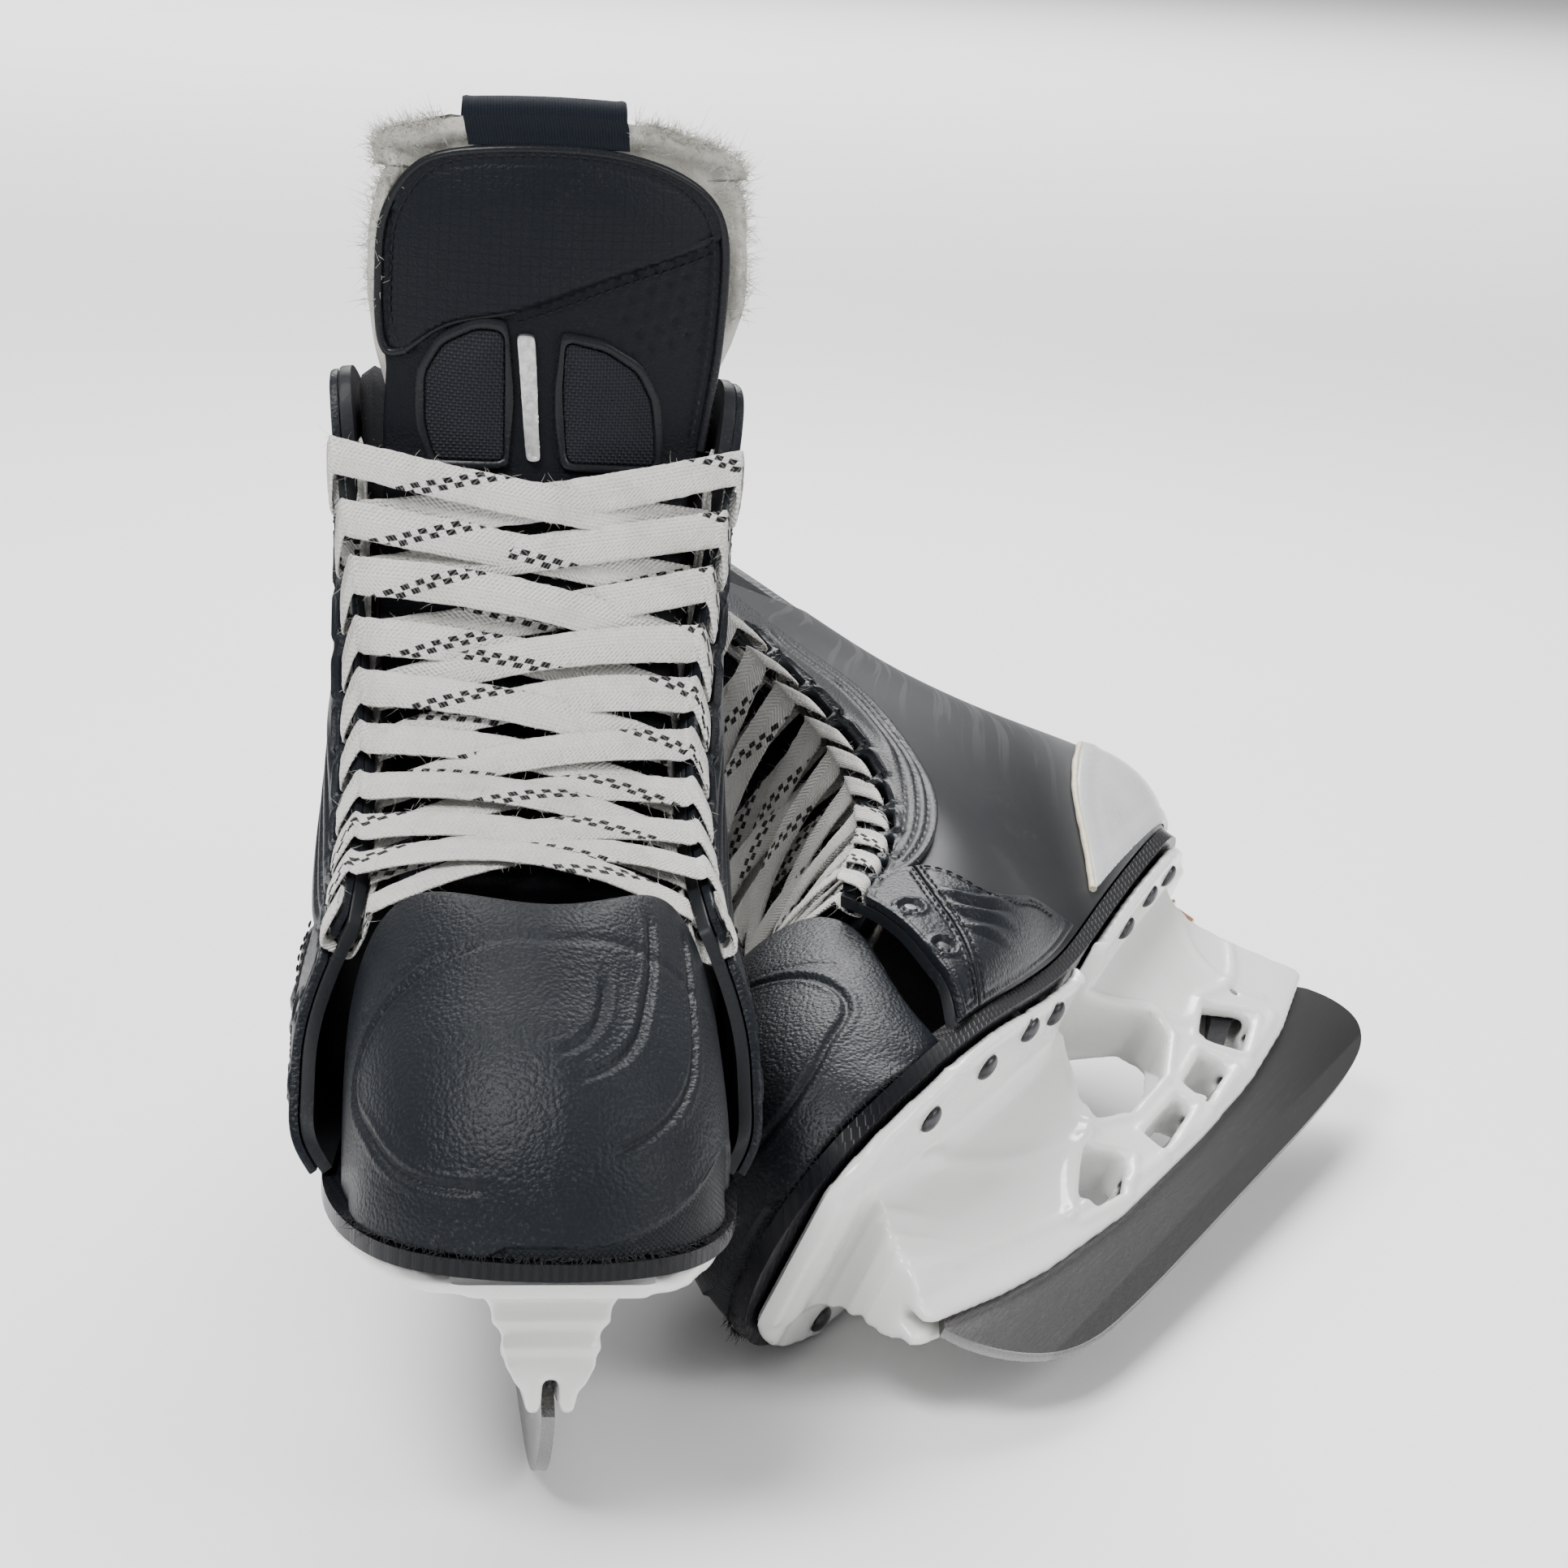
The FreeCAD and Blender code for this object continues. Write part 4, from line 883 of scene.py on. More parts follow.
def lace_finish():
    """Off-white flat braid with two rows of black tracer dashes that wander across it."""
    finish = Finish("lace braid", Roughness=0.9, Specular_IOR_Level=0.08, Sheen_Weight=0.08, Sheen_Roughness=0.5)
    tree = finish.tree
    across, along, face = parts_of(tree, finish.lay())
    chevron = along * 0.85 + across.size() * 0.75
    threads = (chevron.fraction() - 0.5).size() * 2.0
    ribs = ((across * 1.05 + 0.25).fraction() - 0.5).size() * 2.0
    height = threads * 0.6 + ribs * 0.4
    turn = along / LACE_TRACER_PERIOD + face * 0.5
    drift = (turn.fraction() * 2.0 - 0.5) * LACE_WIDTH * 1.25
    off = across - drift
    row_a = 1.0 - (off - 0.85).size().step(0.62, 0.88)
    row_b = 1.0 - (off + 0.85).size().step(0.62, 0.88)
    dash_a = (along / 5.0 + across * 0.12).fraction().step(0.44, 0.5)
    dash_b = (along / 5.0 + across * 0.12 + 0.5).fraction().step(0.44, 0.5)
    tracer = (row_a * dash_a).most(row_b * dash_b) * (threads * 0.4 + 0.8).least(1.0)
    place = finish.own()
    dirt = noise(tree, place, 0.07, 4.0, 0.6).step(0.45, 0.75)
    white = mixed(tree, dirt * 0.6, (0.76, 0.75, 0.72), (0.55, 0.525, 0.475))
    # painted shade: the braid is darker in the low parts between its threads
    white = mixed(tree, (1.0 - threads) * 0.22, white, (0.5, 0.48, 0.44))
    finish.feed("Base Color", mixed(tree, tracer.least(1.0), white, (0.006, 0.0065, 0.009)))
    fuzz = noise(tree, place, 1.6, 4.0, 0.7)
    finish.bump(height + fuzz * 0.9, 0.0006)
    return finish.material


def felt_finish():
    """Thick off-white felt, greyed and rubbed where it is handled."""
    finish = Finish("tongue felt", Roughness=0.95, Specular_IOR_Level=0.08, Sheen_Weight=0.15, Sheen_Roughness=0.6)
    tree = finish.tree
    place = finish.own()
    grey = noise(tree, place, 0.05, 4.0, 0.6).step(0.42, 0.72)
    specks = noise(tree, place, 0.5, 3.0, 0.7).step(0.52, 0.72)
    colour = mixed(tree, grey * 0.6, (0.66, 0.64, 0.58), (0.40, 0.38, 0.33))
    finish.feed("Base Color", mixed(tree, specks * 0.35, colour, (0.42, 0.40, 0.36)))
    fluff = noise(tree, place, 0.9, 6.0, 0.75)
    clumps = noise(tree, place, 0.25, 3.0, 0.6)
    finish.bump(fluff * 0.7 + clumps * 0.5, 0.0016)
    return finish.material


def tongue_finish():
    """Black coated cloth: smooth panel with faint cells above the seam."""
    finish = Finish("tongue cover", Specular_IOR_Level=0.13)
    tree = finish.tree
    place = finish.own()
    x, along, _ = parts_of(tree, finish.lay())
    grain = use_group(tree, GRAIN, Vector=place, Density=1.5)["Height"]
    honeycomb = cells(tree, vector_from(tree, x * 0.42, along * 9.4), 1.0, "DISTANCE_TO_EDGE", 0.0)
    seam = 9.62 + 0.0195 * (x - 1.5)
    above = (along - seam).step(0.0, 0.04)
    comb = honeycomb.step(0.04, 0.12) * above
    worn = finish.wear(place, 0.05, 0.6)
    # painted shade: a little darker in the grooves between the raised honeycomb cells
    base = mixed(tree, comb * 0.15, (0.0035, 0.0046, 0.007), (0.014, 0.016, 0.019))
    finish.feed("Base Color", mixed(tree, worn["Mask"] * 0.12, base, (0.12, 0.12, 0.12)))
    finish.feed("Roughness", grain * 0.1 + 0.42 - comb * 0.05 + worn["Mask"] * 0.15)
    finish.bump(grain + comb * 0.12, 0.00016)
    return finish.material


def mesh_pad_finish():
    """Dark ballistic mesh in plain weave."""
    finish = Finish("pad mesh", Specular_IOR_Level=0.15)
    tree = finish.tree
    weave = use_group(tree, WEAVE, Vector=finish.lay(), Density=1.25)
    # painted shade between the threads: darker where the weave is low, lighter on the thread crowns
    finish.feed("Base Color", mixed(tree, weave["Height"], (0.003, 0.0035, 0.005), (0.016, 0.018, 0.023)))
    finish.feed("Roughness", 0.75 - weave["Height"] * 0.15)
    finish.bump(weave["Height"], 0.00035)
    return finish.material


def label_finish():
    """Plain woven tab with ribbed selvedges and no wording."""
    finish = Finish("woven tab", Roughness=0.8, Specular_IOR_Level=0.1, Sheen_Weight=0.03)
    tree = finish.tree
    weave = use_group(tree, WEAVE, Vector=finish.lay(), Density=2.6)
    x, along, _ = parts_of(tree, finish.lay())
    rib = ((x * 1.4).fraction() - 0.5).size() * 2.0
    # painted shade: darker where the weave and the selvedge ribs are low, lighter on their crowns
    finish.feed("Base Color", mixed(tree, weave["Height"] * rib, (0.003, 0.0045, 0.008), (0.012, 0.018, 0.03)))
    finish.bump(weave["Height"] * 0.6 + rib * 0.4, 0.0003)
    return finish.material


def holder_finish():
    """Glossy white moulded nylon with faint scuffs and a little grime in scattered patches."""
    finish = Finish("holder nylon", Specular_IOR_Level=0.5, Coat_Weight=0.25, Coat_Roughness=0.12)
    tree = finish.tree
    place = finish.own()
    worn = finish.wear(place, 0.03, 0.8)
    cloud = noise(tree, place, 0.02, 3.0)
    grime = noise(tree, place, 0.12, 5.0, 0.7).step(0.6, 0.8)
    base = mixed(tree, cloud, (0.80, 0.80, 0.785), (0.73, 0.73, 0.71))
    base = mixed(tree, grime * 0.25, base, (0.55, 0.54, 0.5))
    finish.feed("Base Color", mixed(tree, worn["Mask"] * 0.4, base, (0.5, 0.5, 0.49)))
    finish.feed("Roughness", worn["Mask"] * 0.3 + cloud * 0.08 + 0.17)
    finish.bump(noise(tree, place, 0.35, 2.0) + worn["Mask"] * 0.15, 0.00012)
    return finish.material


def runner_finish():
    """Ground steel: bright near the toe, duller and darker towards the heel, with a painted reflection of the floor in
    a band along the running edge.
    """
    finish = Finish("runner steel", Metallic=1.0)
    tree = finish.tree
    place = finish.own()
    _, y, z = parts_of(tree, place)
    grinding = noise(tree, finish.own(scale=(1.0, 0.05, 6.0)), 1.0, 3.0, 0.7)
    scratches = noise(tree, finish.own(scale=(1.0, 0.12, 2.2), offset=(3, 0, 0)), 1.0, 2.0).step(0.6, 0.66)
    rear = y.step(-40.0, 125.0)
    # painted reflection of the floor: a band over the lowest 6 to 7 mm above the running edge
    floor_reflection_band = 1.0 - z.step(6.0, 7.0)
    spots = noise(tree, place, 0.4, 4.0, 0.7).step(0.62, 0.72) * rear
    base = mixed(tree, rear, (0.23, 0.23, 0.228), (0.05, 0.05, 0.052))
    # the painted floor reflection mixes this band halfway to a mid grey
    base = mixed(tree, floor_reflection_band * 0.5, base, (0.13, 0.13, 0.13))
    base = mixed(tree, spots * 0.35, base, (0.1, 0.095, 0.09))
    finish.feed("Base Color", base)
    finish.feed("Roughness", grinding * 0.14 + scratches * 0.03 + rear * 0.12 + 0.2)
    finish.bump(grinding + scratches * 0.1, 0.000015)
    return finish.material


def counter_finish():
    """Silver-white moulded plastic of the heel."""
    finish = Finish("heel counter plastic", Specular_IOR_Level=0.5, Coat_Weight=0.2, Coat_Roughness=0.2)
    tree = finish.tree
    place = finish.own()
    worn = finish.wear(place, 0.05, 0.7)
    cloud = noise(tree, place, 0.05, 3.0)
    base = mixed(tree, cloud, (0.66, 0.67, 0.68), (0.52, 0.53, 0.545))
    finish.feed("Base Color", mixed(tree, worn["Mask"] * 0.5, base, (0.3, 0.3, 0.3)))
    finish.feed("Roughness", worn["Mask"] * 0.25 + 0.27)
    finish.feed("Metallic", 0.15)
    finish.bump(noise(tree, place, 1.5, 3.0), 0.00008)
    return finish.material


def outsole_finish():
    """Lacquered dark composite with a twill of fibres under the lacquer."""
    finish = Finish("outsole composite", Specular_IOR_Level=0.12, Coat_Weight=0.04, Coat_Roughness=0.15)
    tree = finish.tree
    place = object_place(tree)
    x, y, _ = parts_of(tree, place)
    bands = ((x * 0.5 + (y * 0.5).whole() * 0.25).fraction()).step(0.4, 0.6)
    finish.feed("Base Color", mixed(tree, bands, (0.004, 0.0046, 0.006), (0.007, 0.0078, 0.0095)))
    finish.feed("Roughness", 0.34 - bands * 0.08)
    finish.bump(bands, 0.00005)
    return finish.material


def lining_finish():
    """Black napped lining cloth with lint."""
    finish = Finish("lining cloth", Roughness=0.95, Specular_IOR_Level=0.08, Sheen_Weight=0.08, Sheen_Roughness=0.5)
    tree = finish.tree
    place = finish.own()
    nap = noise(tree, place, 1.3, 5.0, 0.75)
    lint = noise(tree, place, 0.9, 3.0, 0.7).step(0.66, 0.74)
    finish.feed("Base Color", mixed(tree, lint * 0.5, mixed(tree, nap, (0.008, 0.009, 0.01), (0.03, 0.031, 0.034)),
                                    (0.2, 0.19, 0.18)))
    finish.bump(nap, 0.0007)
    return finish.material


def metal_finish(name, colour, roughness, own=False):
    """Plain metal with a little tarnish and fine scratches."""
    finish = Finish(name, Metallic=1.0)
    tree = finish.tree
    place = finish.own() if own else object_place(tree)
    dull = noise(tree, place, 0.5, 4.0, 0.6)
    dark = tuple(c * 0.6 for c in colour)
    finish.feed("Base Color", mixed(tree, dull.step(0.35, 0.7), colour, dark))
    finish.feed("Roughness", dull * 0.2 + (roughness - 0.1))
    finish.bump(noise(tree, place, 3.0, 3.0), 0.00003)
    return finish.material


def footbed_finish():
    """Dark woven insole cloth."""
    finish = Finish("insole cloth", Roughness=0.9, Specular_IOR_Level=0.2, Sheen_Weight=0.2)
    tree = finish.tree
    weave = use_group(tree, WEAVE, Vector=object_place(tree), Density=0.9)
    # painted shade between the threads: darker where the weave is low, lighter on the thread crowns
    finish.feed("Base Color", mixed(tree, weave["Height"], (0.012, 0.012, 0.014), (0.05, 0.05, 0.055)))
    finish.bump(weave["Height"], 0.0004)
    return finish.material


def glue_finish():
    """Yellowed line of glue along the heel counter."""
    finish = Finish("dried glue", Specular_IOR_Level=0.5, Roughness=0.4)
    tree = finish.tree
    finish.feed("Base Color", mixed(tree, noise(tree, finish.own(), 0.4, 3.0), (0.72, 0.66, 0.5), (0.5, 0.44, 0.32)))
    finish.bump(noise(tree, finish.own(), 1.2, 3.0), 0.0003)
    return finish.material


LACE_WIDTH, LACE_THICK = 9.4, 1.3
LACE_TRACER_PERIOD = 58.0

MAT = {
    "toe_cap": toe_cap_finish(),
    "quarter": quarter_finish(),
    "lace": lace_finish(),
    "felt": felt_finish(),
    "tongue_cover": tongue_finish(),
    "mesh_pad": mesh_pad_finish(),
    "label": label_finish(),
    "holder": holder_finish(),
    "runner": runner_finish(),
    "heel_counter": counter_finish(),
    "outsole": outsole_finish(),
    "liner": lining_finish(),
    "footbed": footbed_finish(),
    "glue": glue_finish(),
    "facing": black_moulding("facing moulding", (0.006, 0.0075, 0.0105), (0.010, 0.012, 0.015), 0.36, 1.6, 0.00012).material,
    "overlay": black_moulding("coated overlay", (0.006, 0.0075, 0.0105), (0.010, 0.012, 0.015), 0.36, 1.1, 0.0002).material,
    "tendon_guard": black_moulding("tendon guard plastic", (0.05, 0.053, 0.058), (0.08, 0.083, 0.088), 0.42, 0.9,
                                   0.0002).material,
    "trigger": black_moulding("trigger nylon", (0.014, 0.014, 0.016), (0.022, 0.022, 0.024), 0.45, 1.2, 0.00015,
                              own=False).material,
    "piping": black_moulding("glossy piping", (0.008, 0.009, 0.011), (0.013, 0.014, 0.016), 0.25, 1.0, 0.00005).material,
    "thread": black_moulding("black thread", (0.006, 0.006, 0.008), (0.012, 0.012, 0.014), 0.55, 3.0, 0.0002).material,
    "rivet": metal_finish("blackened steel", (0.07, 0.07, 0.075), 0.38, own=True),
    "copper": metal_finish("copper", (0.85, 0.42, 0.27), 0.28, own=True),
    "pin": metal_finish("plain steel", (0.5, 0.5, 0.5), 0.3),
    "strip": metal_finish("satin silver", (0.62, 0.62, 0.61), 0.42, own=True),
}


# ---------------------------------------------------------------- eyelets
EYELET_COUNT = 10
THROAT_TOP, THROAT_BOTTOM = 4.42, 6.86
EYELET_SETBACK = 9.0
SHELL, FIRST_LAYER, SECOND_LAYER = 3.0, 0.4, 2.0
BOOT_SCALE = (42.0, 95.0)


def throat_stations():
    """Stations of the eyelet rows, evenly spaced along the throat's edge from the top."""
    stations = np.linspace(THROAT_TOP, THROAT_BOTTOM, 81)
    edge = boot(stations, np.ones(81))
    reach = np.concatenate([[0], np.cumsum(np.linalg.norm(np.diff(edge, axis=0), axis=1))])
    return [stations[np.abs(reach - reach[-1] * row / (EYELET_COUNT - 1)).argmin()] for row in range(EYELET_COUNT)]


def eyelet_frame(station, sign):
    """Throat edge and slot centre of an eyelet with their normals and the edge's two directions."""
    side = sign * station
    edge = boot([side], [1.0])[0]
    along = boot([side + 0.05 * sign], [1.0])[0] - boot([side - 0.05 * sign], [1.0])[0]
    along /= np.linalg.norm(along)
    heights = np.arange(1.0, 0.5, -0.002)
    spots = boot(np.full(len(heights), side), heights)
    index = int(np.argmax(np.linalg.norm(spots - edge, axis=1) >= EYELET_SETBACK))
    slot = spots[index]
    normal = boot_surface([side], [heights[index]])[1][0]
    away = slot - edge
    away = away - along * (away @ along)
    away = away - normal * (away @ normal)
    away /= np.linalg.norm(away)
    edge_normal = boot_surface([side], [0.985])[1][0]
    return {"edge": edge, "edge_normal": edge_normal, "slot": slot, "normal": normal, "along": along,
            "away": away, "side": side, "height": heights[index]}


EYELETS = {sign: [eyelet_frame(station, sign) for station in throat_stations()] for sign in (-1, 1)}


def slot_loop(eyelet, length=11.0, width=4.4, grow=0.0):
    """Outline of an eyelet's slot in the boot's own coordinates."""
    half = (length - width) / 2
    radius = width / 2 + grow
    loop = []
    for degrees in range(0, 360, 24):
        turn = math.radians(degrees)
        shift = half if math.cos(turn) >= 0 else -half
        loop.append(eyelet["along"] * (shift + radius * math.cos(turn)) + eyelet["away"] * radius * math.sin(turn))
    a, b, step = eyelet["side"], eyelet["height"], 0.01
    slope = np.stack([(boot([a + step], [b]) - boot([a - step], [b]))[0] / (2 * step),
                      (boot([a], [b + step]) - boot([a], [b - step]))[0] / (2 * step)], 1)
    return np.array([np.array([a, b]) + np.linalg.lstsq(slope, offset, rcond=None)[0] for offset in loop])


SLOTS = {sign: [slot_loop(eyelet) for eyelet in EYELETS[sign]] for sign in (-1, 1)}


def boot_line(knots, step=0.8):
    """Points on the boot along a smooth line given in its own coordinates, with normals."""
    flat = smooth_line(np.asarray(knots, float) * BOOT_SCALE, step) / BOOT_SCALE
    return boot_surface(flat[:, 0], flat[:, 1])


def mirrored(knots, sign):
    """Line given for the boot's positive side, on the wanted side."""
    return [(sign * a, b) for a, b in knots]


# ---------------------------------------------------------------- shell, facings, panels
def shell_shape():
    """Main shell with its slots."""
    outline = [(-7, 0), (7, 0), (7, 1), (-7, 1)]

    def relief(points, distance, own):
        rim = hump(distance - 2.4, 0.8) * -0.3
        return rim * (own[:, 1] > 0.6)

    return plate(outline, SLOTS[-1] + SLOTS[1], boot_surface, BOOT_SCALE, -SHELL, 0.0, relief, spacing=2.2,
                 rounding=0.6, edge_step=1.6)


FACING_LOW = [(3.73, 0.76), (3.79, 0.62), (4.07, 0.525), (4.6, 0.51), (5.0, 0.56), (5.4, 0.61), (5.98, 0.66),
              (6.34, 0.705), (6.7, 0.80), (6.93, 0.86)]


def facing_shape(sign):
    """Moulded facing with slots, raised slot rims and grooves that follow its lower edge."""
    low = smooth_line(np.array(FACING_LOW) * BOOT_SCALE, 3.0) / BOOT_SCALE
    outline = np.array([(6.94, 0.996), (6.0, 0.996), (5.0, 0.996), (4.2, 0.996), (3.73, 0.996)] + low.tolist())
    outline[:, 0] *= sign
    low_line = boot_line(mirrored(FACING_LOW, sign))[0]
    slots = [boot(loop[:, 0], loop[:, 1]) for loop in SLOTS[sign]]
    upper_slots = np.concatenate([straight_line(np.vstack([loop, loop[:1]]), 0.5) for loop in slots[:5]])
    lower_slots = np.concatenate([straight_line(np.vstack([loop, loop[:1]]), 0.5) for loop in slots[5:]])
    comb = []
    for above, below in zip(EYELETS[sign], EYELETS[sign][1:]):
        middle = (above["slot"] + below["slot"]) / 2
        comb.append(straight_line([middle - above["away"] * 5.5, middle + above["away"] * 4.5], 0.5))
    comb = np.concatenate(comb)

    def relief(points, distance, own):
        from_low = distance_to(points, low_line)
        grooves = -0.75 * hump(from_low - 2.6, 0.55) - 0.7 * hump(from_low - 5.2, 0.5)
        grooves += -0.6 * hump(from_low - 8.2, 0.5) + 0.35 * hump(from_low - 10.4, 0.8)
        fade = ramp(np.abs(own[:, 0]), 3.8, 4.1) * (1 - ramp(np.abs(own[:, 0]), 6.3, 6.6))
        rims = 0.9 * hump(distance_to(points, upper_slots) - 1.7, 0.6)
        rims += 0.45 * hump(distance_to(points, lower_slots) - 1.3, 0.5)
        tabs = -0.8 * hump(distance_to(points, comb), 0.9)
        return grooves * fade + rims + tabs + 0.35

    return plate(outline, SLOTS[sign], boot_surface, BOOT_SCALE, FIRST_LAYER, SECOND_LAYER, relief, spacing=0.95,
                 rounding=0.8, edge_step=0.9)


WING_TOP = [(6.34, 0.70), (6.2, 0.56), (6.04, 0.38), (5.75, 0.26), (5.33, 0.19), (4.95, 0.11), (4.66, 0.025)]
STRAP_REAR = [(6.36, 0.70), (6.53, 0.52), (6.62, 0.29), (6.73, 0.12), (6.77, 0.025)]
CLAWS = [[(6.50, 0.60), (6.38, 0.46), (6.15, 0.33), (5.72, 0.21)],
         [(6.50, 0.50), (6.42, 0.38), (6.2, 0.26), (5.9, 0.16)],
         [(6.54, 0.38), (6.46, 0.28), (6.3, 0.2), (6.1, 0.12)]]


def side_panel_shape(sign):
    """Coated overlay along the sole with raised claws that run back from the strap."""
    low = [(4.66, 0.02), (5.4, 0.02), (6.1, 0.02), (6.74, 0.02)]
    rear = smooth_line(np.array(WING_TOP) * BOOT_SCALE, 3.0) / BOOT_SCALE
    front = smooth_line(np.array(STRAP_REAR[::-1]) * BOOT_SCALE, 3.0) / BOOT_SCALE
    outline = np.array(low + front.tolist() + rear.tolist()[1:-1])
    outline[:, 0] *= sign
    claws = [boot_line(mirrored(line, sign), 0.5)[0] for line in CLAWS]

    def relief(points, distance, own):
        total = np.zeros(len(points))
        for line in claws:
            tip = ramp(distance_to(points, line[:1]), 0, 9) * ramp(distance_to(points, line[-1:]), 0, 16)
            near = distance_to(points, line)
            total += (1.3 * hump(near, 1.7) - 0.45 * hump(near - 2.9, 0.8)) * tip
        return total + 0.2 - 0.35 * hump(distance - 2.0, 0.45)

    return plate(outline, [], boot_surface, BOOT_SCALE, FIRST_LAYER, SECOND_LAYER, relief, spacing=1.0,
                 rounding=0.8)


DIMPLES = [(6.83, 0.58), (6.86, 0.31)]


def strap_shape(sign):
    """Strap between the side panel and the toe cap, with two oval dimples."""
    front = [(7.0, 0.02), (7.0, 0.3), (7.0, 0.6), (6.99, 0.83), (6.74, 0.845), (6.52, 0.79)]
    rear = smooth_line(np.array(STRAP_REAR) * BOOT_SCALE + (1.0, 0), 3.0) / BOOT_SCALE
    outline = np.array(front + rear.tolist())
    outline[:, 0] *= sign
    dimples = [boot([sign * a], [b])[0] for a, b in DIMPLES]

    def relief(points, distance, own):
        total = np.full(len(points), 0.5) - 0.4 * hump(distance - 1.9, 0.4)
        for spot in dimples:
            away = np.sqrt(((points[:, 1] - spot[1]) / 4.2) ** 2 + ((points[:, 2] - spot[2]) / 3.0) ** 2)
            total += 0.55 * hump(away - 1.15, 0.22) - 0.8 * (1 - ramp(away, 0.75, 1.05))
        return total

    return plate(outline, [], boot_surface, BOOT_SCALE, FIRST_LAYER, SECOND_LAYER, relief, spacing=0.85,
                 rounding=0.8)


def strap_screws(sign):
    """Low screw heads in the strap's dimples."""
    shape = Shape()
    for a, b in DIMPLES:
        spot, normal = boot_surface([sign * a], [b])
        shape.join(lathe([(0.3, 0.6), (1.9, 0.6), (2.0, 1.9), (1.5, 2.4), (0.5, 2.5)], spot[0], normal[0], (0, 0, 1), 18))
    return shape


def boot_stitches(sign):
    """Sewn rows along the strap and the side panel."""
    shape = Shape()
    for knots, gap in ((STRAP_REAR, 0.06), (STRAP_REAR, 0.11), (STRAP_REAR, -0.055), (WING_TOP[:-1], -0.04)):
        line = [(a + gap, b) for a, b in knots] if knots is STRAP_REAR else [(a, b + gap) for a, b in knots]
        points, normal = boot_line(mirrored(line, sign), 0.7)
        shape.join(stitches(points + normal * (SECOND_LAYER + 0.35), normal, 2.9, 2.0, 0.33))
    return shape


def counter_shape():
    """Heel counter with a soft raised rim."""
    top = [(0, 0.3), (1.5, 0.29), (2.6, 0.235), (3.09, 0.17), (3.5, 0.09), (3.95, 0.02)]
    line = smooth_line(np.array(top) * BOOT_SCALE, 2.0) / BOOT_SCALE
    outline = np.concatenate([line, [(2.0, 0.01), (0.0, 0.01), (-2.0, 0.01)], (line[1:] * (-1, 1))[::-1]])

    def relief(points, distance, own):
        return 0.3 * hump(distance - 3.0, 1.2) - 0.3 * hump(distance - 6.0, 1.0)

    return plate(outline, [], boot_surface, BOOT_SCALE, FIRST_LAYER, SECOND_LAYER, relief, spacing=1.5), line


def edge_grid(first, last, low, high, columns, rows):
    """Grid of the boot's own coordinates that is finer near its edges."""
    across = first + (last - first) * ramp(np.linspace(-0.12, 1.12, columns), -0.12, 1.12)
    share = ramp(np.linspace(0, 1, rows), -0.2, 1.2)
    share = (share - share[0]) / (share[-1] - share[0])
    a = np.repeat(across[:, None], rows, 1)
    lows, highs = low(np.abs(across)), high(np.abs(across))
    b = lows[:, None] + (highs - lows)[:, None] * share[None]
    return a, b


def grid_edge_distance(points):
    """Distance of each point of a grid to the grid's border."""
    border = np.concatenate([points[0], points[-1], points[:, 0], points[:, -1]])
    return distance_to(points.reshape(-1, 3), border).reshape(points.shape[:2])


def value_noise(points, scale, seed=0):
    """Smooth seeded noise from a few rotated waves."""
    waves = np.random.default_rng(seed)
    total = np.zeros(len(points))
    for _ in range(14):
        direction = unit(waves.normal(size=3)) * scale * waves.uniform(0.5, 2.0)
        total += np.sin(points @ direction + waves.uniform(0, 6.3))
    return total / 5.0


def liner_shape():
    """Padded lining that swells round the ankle."""
    top = [(0, 0.985), (2.2, 0.985), (3.0, 0.99), (3.6, 0.99), (4.3, 0.72), (5.2, 0.58), (6.2, 0.53)]
    low = lambda side: np.full(len(side), 0.06)
    high = lambda side: weights([p[0] for p in top], side) @ np.array([p[1] for p in top])
    a, b = edge_grid(-6.2, 6.2, low, high, 150, 40)
    base, normal = boot_surface(a, b)
    grid = base.reshape(a.shape + (3,))
    normal = normal.reshape(grid.shape)
    distance = grid_edge_distance(grid)
    thick = 3.2 + 4.0 * ramp(b, 0.5, 0.85) * (1 - ramp(np.abs(a), 3.4, 4.4))
    round_off = np.sqrt(1 - np.clip(1 - distance / 2.6, 0, 1) ** 2)
    middle = -SHELL - 1.0 - thick / 2
    soft = value_noise(base, 0.12, 3).reshape(a.shape) * 0.35
    outer = grid + normal * (middle + thick / 2 * round_off)[..., None]
    inner = grid + normal * (middle - thick / 2 * round_off + soft * round_off)[..., None]
    return closed_grid(outer, inner)


def guard_shape():
    """Tendon guard: a curved flexible tab with cross grooves."""
    columns, rows = 49, 61
    side = np.linspace(-1.9, 1.9, columns)
    rise = np.linspace(0, 1, rows)
    s, r = np.meshgrid(side, rise, indexing="ij")
    corner = 1 - 0.35 * r ** 2 - 0.22 * ramp(r, 0.9, 1.0) ** 2
    base = boot((s * corner).ravel(), np.ones(s.size)).reshape(s.shape + (3,))
    outer = base + np.stack([np.zeros(s.shape), 4 * r + 3 * r ** 2, 0.8 + 80.0 * r - 5.0 * (s / 1.9) ** 2 * r ** 6], -1)
    inward = unit(np.stack([-outer[..., 0], 85 - outer[..., 1], np.zeros(s.shape)], -1))
    distance = grid_edge_distance(outer)
    round_off = 1 - np.sqrt(1 - np.clip(1 - distance / 2.0, 0, 1) ** 2)
    grooves = sum(hump(r * 80 - level, 0.9) for level in (9, 16, 23, 30)) * ramp(1.45 - np.abs(s), 0, 0.3)
    panel = 0.5 * hump(distance - 6.0, 0.9)
    shown = outer + inward * (round_off * 2.0 + grooves * 1.0 + panel)[..., None]
    inner = outer + inward * (4.5 - round_off * 2.0)[..., None]
    return closed_grid(shown, inner)


